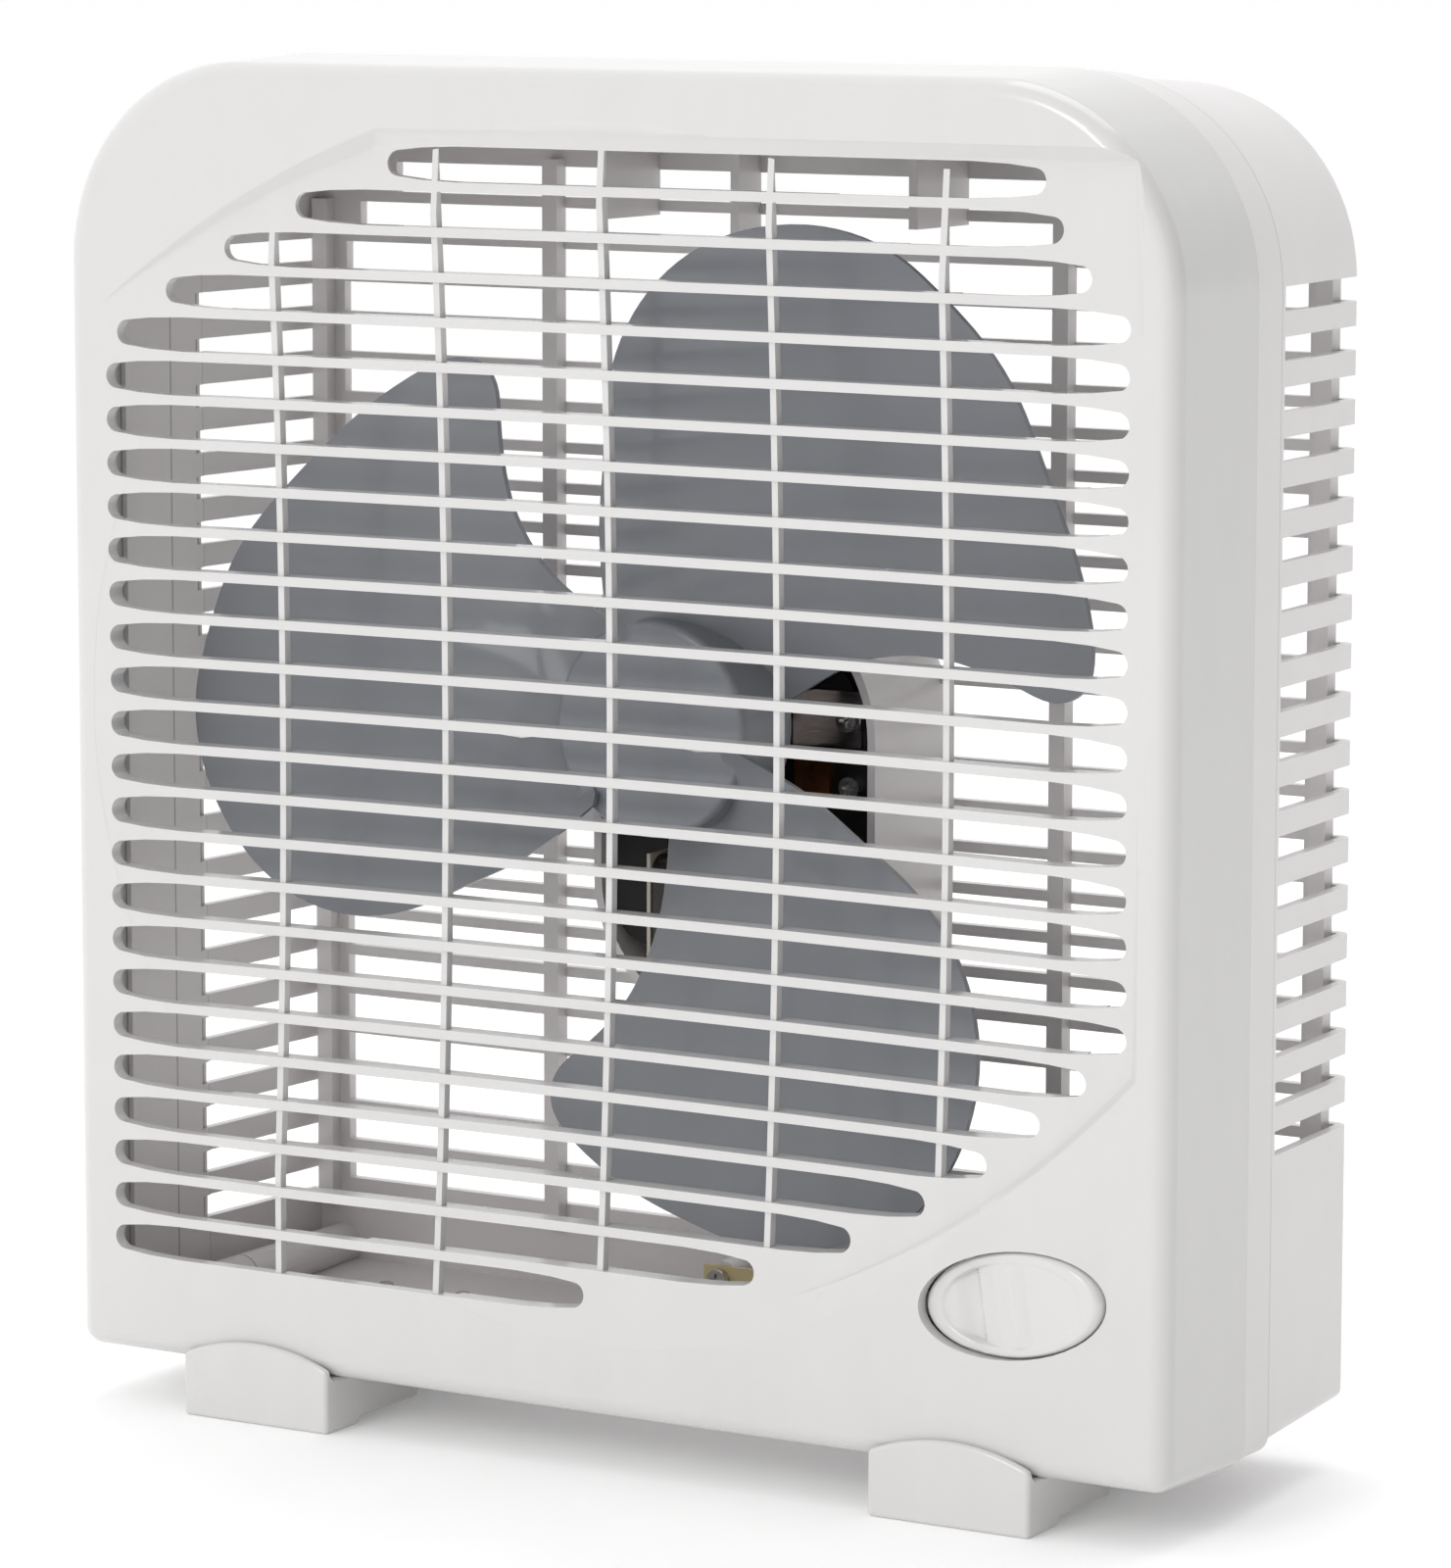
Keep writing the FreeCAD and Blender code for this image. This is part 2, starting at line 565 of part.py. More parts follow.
def grille_window(thing, half, low, high, r_low, r_high):
    axis = dim("ground_gap") + dim("axis_above_base")
    rounded_outline(thing, (value(half), half),
                    (axis + value(low), f"ground_gap + axis_above_base + ({low})"),
                    (axis + value(high), f"ground_gap + axis_above_base + ({high})"),
                    (value(r_low), r_low), (value(r_high), r_high))


def rear_grille(body):
    """The rear wall between the corner posts: slats, ribs and fins."""
    depth = "cover_depth + rim_depth + shell_depth"
    axis = dim("ground_gap") + dim("axis_above_base")
    reach, top = dim("rear_reach"), dim("rear_top")
    # close the rear wall again between the corners, then cut its own rows
    skin = sketch(body, "rear_face", "XZ_Plane", f"-(front_y + {depth} - rear_skin)")
    grille_window(skin, "rear_reach + 6", "post_low - 4", "rear_top + 16", "8", "34")
    pad(body, "rear_wall", skin, "rear_skin")
    rows = sketch(body, "rear_row_outlines", "XZ_Plane", f"-(front_y + {depth} + 1)")
    corner = dim("rear_corner")
    for row in range(int(dim("rear_rows"))):
        high = axis + top - row * dim("rear_pitch")
        low = high - dim("rear_pitch") + dim("rear_slat")
        rise = max(0.0, (high + low) / 2 - (axis + top - corner))
        half = reach - corner + math.sqrt(corner ** 2 - rise ** 2)
        rectangle(rows, (-half, half), (low, high))
    pocket(body, "rear_slots", rows, "rear_skin + 2", forward=True)
    bars = sketch(body, "rear_bars", "XZ_Plane", f"-(front_y + {depth} - rear_skin + 0.5)")
    wide, half = dim("post_width"), dim("rear_rib_width") / 2
    for side in (-1, 1):
        near = reach + dim("post_gap")
        post = sorted((side * near, side * (near + wide)))
        rectangle(bars, post, (axis + dim("post_low"), axis + dim("post_top")))
        rib = side * dim("rear_rib_gap")
        rectangle(bars, (rib - half, rib + half),
                  (axis + dim("rear_rib_low"), axis + dim("rear_rib_top")))
    pad(body, "posts_and_ribs", bars, "post_depth", forward=True)
    fins = sketch(body, "fin_outlines", "XZ_Plane", f"-(front_y + {depth} - rear_skin + 0.5)")
    half = dim("fin_thick") / 2
    for side in (-1, 1):
        middle = side * dim("fin_gap")
        rectangle(fins, (middle - half, middle + half),
                  (axis + dim("fin_low"), axis + dim("fin_high")))
    pad(body, "top_fins", fins, "fin_depth", forward=True)
    fin = sketch(body, "wire_fin_outline", "XZ_Plane", f"-(front_y + {depth} - rear_skin + 0.5)")
    middle = dim("wire_fin_x")
    rectangle(fin, (middle - half, middle + half),
              (axis + dim("cup_top") - 4, axis + dim("fin_high")))
    pad(body, "wire_fin", fin, "wire_fin_depth", forward=True)


def motor_cup(body):
    """The open cup that carries the motor, moulded with the rear wall."""
    depth = "cover_depth + rim_depth + shell_depth"
    outer = sketch(body, "cup_outline", "XZ_Plane", "-(front_y + cup_front)")
    grille_window(outer, "cup_half", "cup_low", "cup_top", "cup_radius", "cup_radius")
    pad(body, "cup", outer, f"{depth} - cup_front")
    inner = sketch(body, "cup_inner_outline", "XZ_Plane", "-(front_y + cup_front - 1)")
    grille_window(inner, "cup_half - cup_wall", "cup_low + cup_wall", "cup_top - cup_wall",
                  "cup_radius - cup_wall", "cup_radius - cup_wall")
    pocket(body, "cup_inside", inner, f"{depth} - cup_front - cup_wall + 1")
    stand = sketch(body, "stand_circles", "XZ_Plane", "-(front_y + stack_front + stack_depth)")
    circles(stand, MOTOR_POINTS, "4")
    pad(body, "motor_stands", stand, f"{depth} - stack_front - stack_depth - 1")
    bores = sketch(body, "stand_bores", "XZ_Plane", "-(front_y + stack_front + stack_depth - 1)")
    circles(bores, MOTOR_POINTS, "1.5 + screw_play")
    pocket(body, "stand_holes", bores, "11")


MOTOR_POINTS = [(f"{side} * tie_x", "-17") for side in (-1, 1)]


def screw_tubes(body):
    """Deep tubes for the four housing screws, and the post of the bottom screw."""
    depth = "cover_depth + rim_depth + shell_depth"
    tubes = sketch(body, "tube_circles", "XZ_Plane", "-(front_y + cover_depth)")
    circles(tubes, CORNERS, "boss_radius")
    pad(body, "tubes", tubes, depth + " - cover_depth - 0.5")
    wells = sketch(body, "well_circles", "XZ_Plane", f"-(front_y + {depth} + 1)")
    circles(wells, CORNERS, "head_radius + 0.3")
    pocket(body, "wells", wells, f"{depth} + 1 - 48", forward=True)
    holes = sketch(body, "tube_holes", "XZ_Plane", f"-(front_y + {depth} + 1)")
    circles(holes, CORNERS, "screw_radius + 0.2")
    pocket(body, "holes", holes, f"{depth} - cover_depth + 2", forward=True)
    post = sketch(body, "base_post_circle", "XZ_Plane", "-(front_y + clamp_depth)")
    circles(post, [("clamp_x", "clamp_z")], "4.5")
    pad(body, "base_post", post, f"{depth} - clamp_depth - 1")
    bore = sketch(body, "base_post_bore", "XZ_Plane", "-(front_y + clamp_depth - 1)")
    circles(bore, [("clamp_x", "clamp_z")], "clamp_bore")
    pocket(body, "base_post_hole", bore, "13")
    gland = sketch(body, "gland_circle", "XZ_Plane", f"-(front_y + {depth} + 1)")
    circles(gland, [("inlet_x", "inlet_z")], "gland_radius")
    pocket(body, "gland_hole", gland, "10", forward=True)
    seat = sketch(body, "gland_seat_circle", "XZ_Plane", f"-(front_y + {depth} + 1)")
    circles(seat, [("inlet_x", "inlet_z")], "gland_seat")
    pocket(body, "gland_seat", seat, "2.2", forward=True)
    notch = sketch(body, "lead_notch_outline", "XY_Plane",
                   "ground_gap + axis_above_base + cup_low - 1")
    front = dim("front_y")
    rectangle(notch, (-15.5, -4.5), (front + 91.5, front + 98.5))
    thing = body.newObject("PartDesign::Pocket", "lead_notch")
    thing.Profile = notch
    thing.Reversed = True
    bind(thing, Length="cup_wall + 2")
    feet = sketch(body, "foot_screw_holes", "XY_Plane", "ground_gap - 2")
    for index, across in enumerate(FOOT_SCREWS_X):
        circle = Part.Circle(V(value(across), dim("front_y") + 75, 0), V(0, 0, 1), 2.0)
        feet.addGeometry(circle, False)
        drive(feet, f"size{index}", Sketcher.Constraint("Radius", index, 2.0), "screw_radius + 0.1")
    thing = body.newObject("PartDesign::Pocket", "foot_holes")
    thing.Profile = feet
    thing.Reversed = True
    bind(thing, Length="20")


FOOT_SCREWS_X = [f"{side} * foot_centre + {shift}" for side in (-1, 1) for shift in (-12, 12)]


# -------------------------------------------------------------------------------- feet
def foot(label, side):
    """A foot: a block under the case and a low arched plate in front of the cover."""
    body = new_body(f"{label}_body")
    profile = sketch(body, f"{label}_side", "YZ_Plane", f"{side} * foot_centre")
    front, gap = dim("front_y"), dim("ground_gap")
    slope = math.tan(math.radians(dim("cover_draft")))
    rim_low = gap - 0.5
    rise = math.tan(math.radians(dim("shell_draft")))
    step = dim("cover_depth") + dim("rim_depth")
    back = dim("foot_back")
    points = [(-dim("foot_plate"), 0.0), (12.0, 0.0), (13.0, 1.7), (39.0, 1.7), (39.0, 3.6),
              (78.0, 3.6), (80.0, 0.0), (back, 0.0),
              (back, gap + 0.5 + rise * (back - step)), (step, gap + 0.5), (step, rim_low),
              (dim("cover_depth"), rim_low),
              (dim("cover_depth"), gap - slope * dim("cover_depth")),
              (0.0, gap), (-dim("foot_plate"), gap)]
    corners = [V(front + y, z, 0) for y, z in points]
    for start, end in zip(corners, corners[1:] + corners[:1]):
        profile.addGeometry(Part.LineSegment(start, end), False)
    thing = body.newObject("PartDesign::Pad", f"{label}_pad")
    thing.Profile = profile
    thing.Midplane = True
    bind(thing, Length="2 * foot_half")
    # the plate rises in an arch over the lower edge of the cover
    plate = sketch(body, f"{label}_arch", "XZ_Plane", "-(front_y - 0.1)")
    middle, half = side * dim("foot_centre"), dim("foot_half")
    low, end, crown = gap - 2, gap + 2.2, gap + 6.8
    plate.addGeometry([
        Part.LineSegment(V(middle - half, low, 0), V(middle + half, low, 0)),
        Part.LineSegment(V(middle + half, low, 0), V(middle + half, end, 0)),
        Part.Arc(V(middle + half, end, 0), V(middle, crown, 0), V(middle - half, end, 0)),
        Part.LineSegment(V(middle - half, end, 0), V(middle - half, low, 0))], False)
    pad(body, f"{label}_plate", plate, "foot_plate - 0.1", forward=True)
    # two screw wells from below
    wells = sketch(body, f"{label}_wells", "XY_Plane", "-1")
    holes = sketch(body, f"{label}_holes", "XY_Plane", "-1")
    for drawing, radius in ((wells, "head_radius + 0.3"), (holes, "screw_radius + 0.1")):
        for index, shift in enumerate((-12, 12)):
            circle = Part.Circle(V(middle + shift, front + 75, 0), V(0, 0, 1), value(radius))
            drawing.addGeometry(circle, False)
            drive(drawing, f"size{index}", Sketcher.Constraint("Radius", index, value(radius)),
                  radius)
    for name, drawing, length in ((f"{label}_well_cut", wells, "10"),
                                  (f"{label}_hole_cut", holes, "30")):
        thing = body.newObject("PartDesign::Pocket", name)
        thing.Profile = drawing
        thing.Reversed = True
        bind(thing, Length=length)
    return keep(label, body)


# ------------------------------------------------------------------------------ screws
def screw(name, across, depth, height, radius, head, head_high, length, drive_deep="1.2"):
    """A pan-head screw driven to the rear, with a cross recess in its head."""
    top = rod(f"{name}_head", head, across, (depth, f"{depth} + {head_high}"), height)
    shank = rod(f"{name}_shank", radius, across,
                (f"{depth} + {head_high}", f"{depth} + {head_high} + {length}"), height)
    body = fuse(f"{name}_body", [top, shank])
    slots = []
    for turn, (wide, tall) in enumerate(((0.28, 1.3), (1.3, 0.28))):
        slots.append(block(f"{name}_slot{turn}",
                           (f"{across} - {head} * {wide} / 2", f"{across} + {head} * {wide} / 2"),
                           (f"{depth} - 1", f"{depth} + {drive_deep}"),
                           (f"{height} - {head} * {tall} / 2", f"{height} + {head} * {tall} / 2")))
    return cut(name, body, fuse(f"{name}_cross", slots))


def rear_screw(name, across, head_depth, height, radius, head, head_high, length):
    """A pan-head screw driven to the front; its head lies behind head_depth."""
    top = rod(f"{name}_head", head, across, (head_depth, f"{head_depth} + {head_high}"), height)
    shank = rod(f"{name}_shank", radius, across,
                (f"{head_depth} - {length}", head_depth), height)
    body = fuse(f"{name}_body", [top, shank])
    slots = []
    for turn, (wide, tall) in enumerate(((0.28, 1.3), (1.3, 0.28))):
        slots.append(block(f"{name}_slot{turn}",
                           (f"{across} - {head} * {wide} / 2", f"{across} + {head} * {wide} / 2"),
                           (f"{head_depth} + {head_high} - 1.2", f"{head_depth} + {head_high} + 1"),
                           (f"{height} - {head} * {tall} / 2", f"{height} + {head} * {tall} / 2")))
    return cut(name, body, fuse(f"{name}_cross", slots))


def housing_screws():
    items = [rear_screw(f"housing_screw_{n}", x, "48", z, "screw_radius", "head_radius", "2.6",
                        "26") for n, (x, z) in enumerate(CORNERS)]
    return keep("housing_screws", group("housing_screws", items))


def foot_screws():
    """Four screws up through the feet into the floor of the housing."""
    items = []
    for index, across in enumerate(FOOT_SCREWS_X):
        low = "9 - ground_gap - axis_above_base"
        head = upright(f"foot_screw_head_{index}", "head_radius", across, "75",
                       (f"{low} - 2.6", low))
        shank = upright(f"foot_screw_shank_{index}", "screw_radius", across, "75",
                        (low, f"{low} + 12"))
        items.append(fuse(f"foot_screw_{index}", [head, shank]))
    return keep("foot_screws", group("foot_screws", items))


# ----------------------------------------------------------------------- stator and coil
STACK = ("stack_front", "stack_front + stack_depth")


def stator_core():
    """The laminated C-frame: bore, window for the coil, and holes for its fasteners."""
    body = new_body("stator_body")
    outline = sketch(body, "stack_outline", "XZ_Plane", "-(front_y + stack_front)")
    axis = "ground_gap + axis_above_base"
    low, high = f"{axis} + stack_low", f"{axis} + stack_top"
    rounded_outline(outline, (dim("stack_half"), "stack_half"), (value(low), low),
                    (value(high), high), (dim("stack_round_low"), "stack_round_low"),
                    (dim("stack_round"), "stack_round"))
    pad(body, "stack", outline, "stack_depth")
    window = block("coil_window", ("-window_half", "window_half"),
                   ("stack_front - 1", "stack_front + stack_depth + 1"),
                   ("stack_low + limb_height", "stack_low + limb_height + window_height"))
    through = ("stack_front - 1", "stack_front + stack_depth + 1")
    tools = [window, rod("rotor_bore", "rotor_radius + air_gap", "0", through, "0")]
    for n, (x, z) in enumerate(TIE_POINTS + MOTOR_POINTS + RIVET_POINTS):
        tools.append(rod(f"stack_hole_{n}", "1.5 + screw_play", x, through, z))
    for n, (across, height) in enumerate(ring_gaps()):
        tools.append(block(f"ring_gap_{n}", across, through, height))
    return keep("stator_core", cut("stator", body, fuse("stator_cuts", tools)))


TIE_POINTS = [(f"{side} * tie_x", "0") for side in (-1, 1)]
RIVET_POINTS = [(f"{side} * tie_x", "-31") for side in (-1, 1)]


def ring_gaps():
    """The two slots of each shading ring: right below the bore's middle, left above it."""
    gaps = []
    for side in (-1, 1):
        height = sorted((f"{-side} * ring_low", f"{-side} * ring_high"),
                        key=lambda text: value(text))
        for inner, outer in (("ring_in", "ring_in + ring_gauge"),
                             ("ring_out - ring_gauge", "ring_out")):
            across = sorted((f"{side} * ({inner})", f"{side} * ({outer})"),
                            key=lambda text: value(text))
            gaps.append((across, height))
    return gaps


def shading_rings():
    """Copper straps round one tip of each pole."""
    rings = []
    for n, side in enumerate((-1, 1)):
        across = [sorted((f"{side} * ({a})", f"{side} * ({b})"), key=lambda text: value(text))
                  for a, b in (("ring_in + ring_play", "ring_out - ring_play"),
                               ("ring_in + ring_gauge", "ring_out - ring_gauge"))]
        height = [sorted((f"{-side} * ({a})", f"{-side} * ({b})"), key=lambda text: value(text))
                  for a, b in (("ring_low + ring_play", "ring_high - ring_play"),
                               ("ring_low - 1", "ring_high + 1"))]
        outer = block(f"ring_outer_{n}", across[0],
                      ("stack_front - ring_gauge", "stack_front + stack_depth + ring_gauge"),
                      height[0])
        inner = block(f"ring_inner_{n}", across[1], STACK, height[1])
        rings.append(cut(f"shading_ring_{n}", outer, inner))
    return keep("shading_rings", group("shading_ring_set", rings))


def coil():
    """The coil on its bobbin, round the lower limb of the stack."""
    inner = (("-window_half", "window_half"),
             ("stack_front - bobbin_play", "stack_front + stack_depth + bobbin_play"),
             ("stack_low - bobbin_play", "stack_low + limb_height + bobbin_play"))
    wall = [(f"{low} - bobbin_wall", f"{high} + bobbin_wall") for low, high in inner[1:]]
    outer = (("stack_front - coil_build - bobbin_play", "stack_front + stack_depth + coil_build"
              " + bobbin_play"),
             ("stack_low - coil_build", "stack_low + limb_height + coil_build"))
    half = ("-coil_half", "coil_half")
    tube = block("bobbin_tube", half, *wall)
    flanges = [block("bobbin_flange_0", ("-coil_half", "-coil_half + bobbin_wall"), *outer),
               block("bobbin_flange_1", ("coil_half - bobbin_wall", "coil_half"), *outer)]
    hole = block("bobbin_hole", *inner)
    keep("coil_bobbin", cut("bobbin", fuse("bobbin_outer", [tube] + flanges), hole))
    low = "coil_half - bobbin_wall"
    full = block("coil_full", (f"-({low})", low),
                 *[(f"{a} + 0.5", f"{b} - 0.5") for a, b in outer])
    rounded = doc.addObject("Part::Fillet", "coil_rounded")
    rounded.Base = full
    doc.recompute()
    edges = [n for n, edge in enumerate(full.Shape.Edges, start=1)
             if edge.BoundBox.XLength > 1.0]
    rounded.Edges = [(n, 5.0, 5.0) for n in edges]
    gap = block("coil_gap", ("-window_half", "window_half"), *wall)
    keep("coil_winding", cut("coil", rounded, gap))
    fuse_block = block("fuse_block", ("-8", "8"),
                       ("stack_front - coil_build - 1.7", "stack_front - coil_build + 0.2"),
                       ("-57", "-52"))
    keep("thermal_fuse", fuse_block)


def motor_bracket(name, front):
    """A hat-shaped steel strap across the stack that carries one bearing."""
    if front:
        foot, bridge = ("stack_front - strip", "stack_front"), ("bridge_front",
                                                                "bridge_front + strip")
        leg, boss = ("bridge_front", "stack_front"), ("bridge_front", "bridge_front + 8")
    else:
        back = "stack_front + stack_depth"
        foot, bridge = (back, f"{back} + strip"), ("bridge_back - strip", "bridge_back")
        leg, boss = (back, "bridge_back"), ("bridge_back - 7", "bridge_back")
    tall = ("-strap_half", "strap_half")
    pieces = [block(f"{name}_bridge", ("-bridge_half", "bridge_half"), bridge, tall),
              rod(f"{name}_boss", "boss_outer", "0", boss, "0")]
    for n, side in enumerate((-1, 1)):
        leg_x = sorted((side * (dim("bridge_half") - dim("strip")), side * dim("bridge_half")))
        foot_x = sorted((side * (dim("bridge_half") - dim("strip")), side * dim("foot_reach")))
        pieces.append(block(f"{name}_leg_{n}", [str(x) for x in leg_x], leg, tall))
        pieces.append(block(f"{name}_foot_{n}", [str(x) for x in foot_x], foot, tall))
    holes = [rod(f"{name}_hole_{n}", "1.5 + screw_play", x, (f"{foot[0]} - 1", f"{foot[1]} + 1"), z)
             for n, (x, z) in enumerate(TIE_POINTS)]
    holes.append(rod(f"{name}_bore", "bearing_radius + bore_play", "0",
                     (f"{boss[0]} - 1", f"{boss[1]} + 1"), "0"))
    return keep(name, cut(f"{name}_solid", fuse(f"{name}_blank", pieces),
                          fuse(f"{name}_holes", holes)))


def bearing(name, depth):
    ring = rod(f"{name}_outer", "bearing_radius", "0", depth, "0")
    bore = rod(f"{name}_bore", "shaft_radius + bore_play", "0",
               (f"{depth[0]} - 1", f"{depth[1]} + 1"), "0")
    return keep(name, cut(f"{name}_ring", ring, bore))


def washer(name, outer, inner, depth):
    return cut(name, rod(f"{name}_disc", outer, "0", depth, "0"),
               rod(f"{name}_hole", inner, "0", (f"{depth[0]} - 1", f"{depth[1]} + 1"), "0"))


def motor_screws():
    ties = [screw(f"bracket_screw_{n}", x, "stack_front - strip - 2.4", z, "1.5", "2.8", "2.4",
                  "25") for n, (x, z) in enumerate(TIE_POINTS)]
    keep("bracket_screws", group("bracket_screw_set", ties))
    mounts = [screw(f"mount_screw_{n}", x, "stack_front - 2.4", z, "1.5", "2.8", "2.4", "29.5")
              for n, (x, z) in enumerate(MOTOR_POINTS)]
    keep("mount_screws", group("mount_screw_set", mounts))
    rivets = []
    back = "stack_front + stack_depth"
    for n, (x, z) in enumerate(RIVET_POINTS):
        pieces = [rod(f"rivet_shank_{n}", "1.5", x, STACK, z),
                  rod(f"rivet_head_{n}", "2.6", x, ("stack_front - 1", "stack_front"), z),
                  rod(f"rivet_tail_{n}", "2.4", x, (back, f"{back} + 1"), z)]
        rivets.append(fuse(f"core_rivet_{n}", pieces))
    keep("core_rivets", group("core_rivet_set", rivets))


# -------------------------------------------------------------------------------- rotor
def blade_depth(radius, turn):
    """Depth of the rear face of a blade: a screw surface that leans back near the hub."""
    along = dim("blade_advance") * turn / 360
    corner = max(0.0, 1.0 - turn / dim("hook_turn")) * max(0.0, radius / dim("hook_radius") - 1.0)
    lean = dim("blade_lean") * (radius - dim("blade_mean"))
    return dim("blade_middle") - along - lean + dim("blade_hook") * corner


def polar(radius, turn, depth):
    angle = math.radians(turn)
    return at(radius * math.cos(angle), depth, radius * math.sin(angle))


# radius and turn of the points on a blade's outline, from its leading edge round to its root
BLADE_EDGE = [(24, 3.5), (41, 11), (50, 12), (60, 10.9), (70, 8.6), (78, 6), (85, 3.3),
              (92, 0.6), (98, -1.5), (103, -2.1), (107, -1.6), (110.5, -0.2), (113.3, 2.4),
              (116, 7.2), (119, 14), (124.5, 25.5), (131, 35), (135, 47), (136, 50.5), (134.5, 58.5), (128, 67),
              (117, 75.5), (100, 83.5), (80, 89), (66, 91.5), (52, 95.5), (40, 99), (24, 105.8)]


def blade():
    """One blade: a sheet of the screw surface inside a leaf-shaped outline."""
    radii = [22 + 12 * step for step in range(11)]
    turns = [-8 + 10 * step for step in range(13)]
    grid = [[polar(r, a, blade_depth(r, a)) for a in turns] for r in radii]
    surface = Part.BSplineSurface()
    surface.interpolate(grid)
    sheet_solid = surface.toShape().extrude(V(0, dim("blade_thick"), 0))
    curve = Part.BSplineCurve()
    curve.interpolate([polar(r, a, 10) for r, a in BLADE_EDGE])
    root = Part.LineSegment(polar(*BLADE_EDGE[-1], 10), polar(*BLADE_EDGE[0], 10))
    leaf = Part.Face(Part.Wire([curve.toShape(), root.toShape()])).extrude(V(0, 50, 0))
    piece = sheet_solid.common(leaf)
    return piece.Solids[0]


def fan_blade():
    """The hub with its three blades, moulded in one piece."""
    base = blade()
    base.rotate(at(0, 0, 0), V(0, -1, 0), dim("blade_start"))
    centre, way = at(0, dim("hub_front"), 0), V(0, 1, 0)
    long = dim("hub_back") - dim("hub_front")
    skirt = Part.makeCylinder(dim("hub_radius"), long, centre, way)
    rim = [edge for edge in skirt.Edges if abs(edge.BoundBox.YMax - centre.y) < 0.01]
    skirt = skirt.makeFillet(2.0, rim)
    skin = dim("hub_wall")
    hollow = Part.makeCylinder(dim("hub_radius") - skin, long, centre + way * skin, way)
    solid = skirt
    for step in range(3):
        copy = base.copy()
        copy.rotate(at(0, 0, 0), V(0, -1, 0), 120 * step)
        solid = solid.fuse(copy)
    boss = Part.makeCylinder(6.0, long - 2 - skin / 2, centre + way * skin / 2, way)
    solid = solid.cut(hollow).fuse(boss)
    for step in range(6):
        rib = Part.makeBox(dim("hub_radius") - 5, long / 2, 1.6, centre + V(4, skin / 2, -0.8))
        rib.rotate(centre, way, 60 * step + 30)
        solid = solid.fuse(rib)
    bore = Part.makeCylinder(dim("shaft_radius"), 60, at(0, dim("shaft_front"), 0), way)
    return keep("fan_blade", shaped("fan_blade_solid", solid.cut(bore).removeSplitter()))


def rotor():
    fan_blade()
    keep("motor_shaft", rod("shaft", "shaft_radius", "0", ("shaft_front", "shaft_back"), "0"))
    back = "stack_front + stack_depth"
    bars = [rod("rotor_iron", "rotor_radius", "0", ("stack_front + 1", f"{back} - 1"), "0"),
            rod("rotor_ring_0", "ring_radius", "0", ("stack_front - 2", "stack_front + 2"), "0"),
            rod("rotor_ring_1", "ring_radius", "0", (f"{back} - 2", f"{back} + 1.5"), "0")]
    hole = rod("rotor_hole", "shaft_radius", "0", ("stack_front - 4", f"{back} + 4"), "0")
    keep("rotor_core", cut("rotor_solid", fuse("rotor_blank", bars), hole))
    washers = [washer("thrust_washer_0", "4.5", "shaft_radius",
                      ("bridge_front + 0.5 + bearing_length + 0.1", "stack_front - 2")),
               washer("thrust_washer_1", "4.5", "shaft_radius",
                      (f"{back} + 1.5", "bridge_back - bearing_length - 0.1"))]
    keep("thrust_washers", group("thrust_washer_set", washers))
    keep("hub_clip", washer("hub_clip_ring", "8.2", "6.05", ("hub_back - 5", "hub_back - 3")))


# ------------------------------------------------------------------------------- switch
def rocker():
    """The oval rocker cap and its plunger."""
    cap = oval("cap_oval", "oval_long - 1", "oval_short - 0.5", ("-cap_crown", "3"), LOOSE)
    hollow = oval("cap_hollow", "oval_long - 3", "oval_short - 2.5", ("1.2 - cap_crown", "4"), LOOSE)
    shell = cut("cap_shell", cap, hollow)
    boss = block("cap_boss", ("-3.5", "3.5"), ("-3.5", "2.8"), ("-5.6", "5.6"), LOOSE)
    hole = upright("cap_pin_hole", "pivot_radius + bore_play", "0", "0", ("-12", "12"), LOOSE)
    well = rod("plunger_well", "1.65", "0", ("1.55", "4"), "0", LOOSE)
    body = cut("cap_body", fuse("cap_with_boss", [shell, boss]), fuse("cap_holes", [hole, well]))
    lean = -dim("rocker_throw") / 2
    keep("rocker_cap", on_switch(body, "pivot_depth", lean))
    stem = rod("plunger_stem", "1.6", "0", ("1.6", "5.5"), "0", LOOSE)
    tip = rod("plunger_tip", "1.2", "0", ("5.5", "contact_gap"), "0", LOOSE)
    keep("switch_plunger", on_switch(fuse("plunger", [stem, tip]), "pivot_depth", lean))


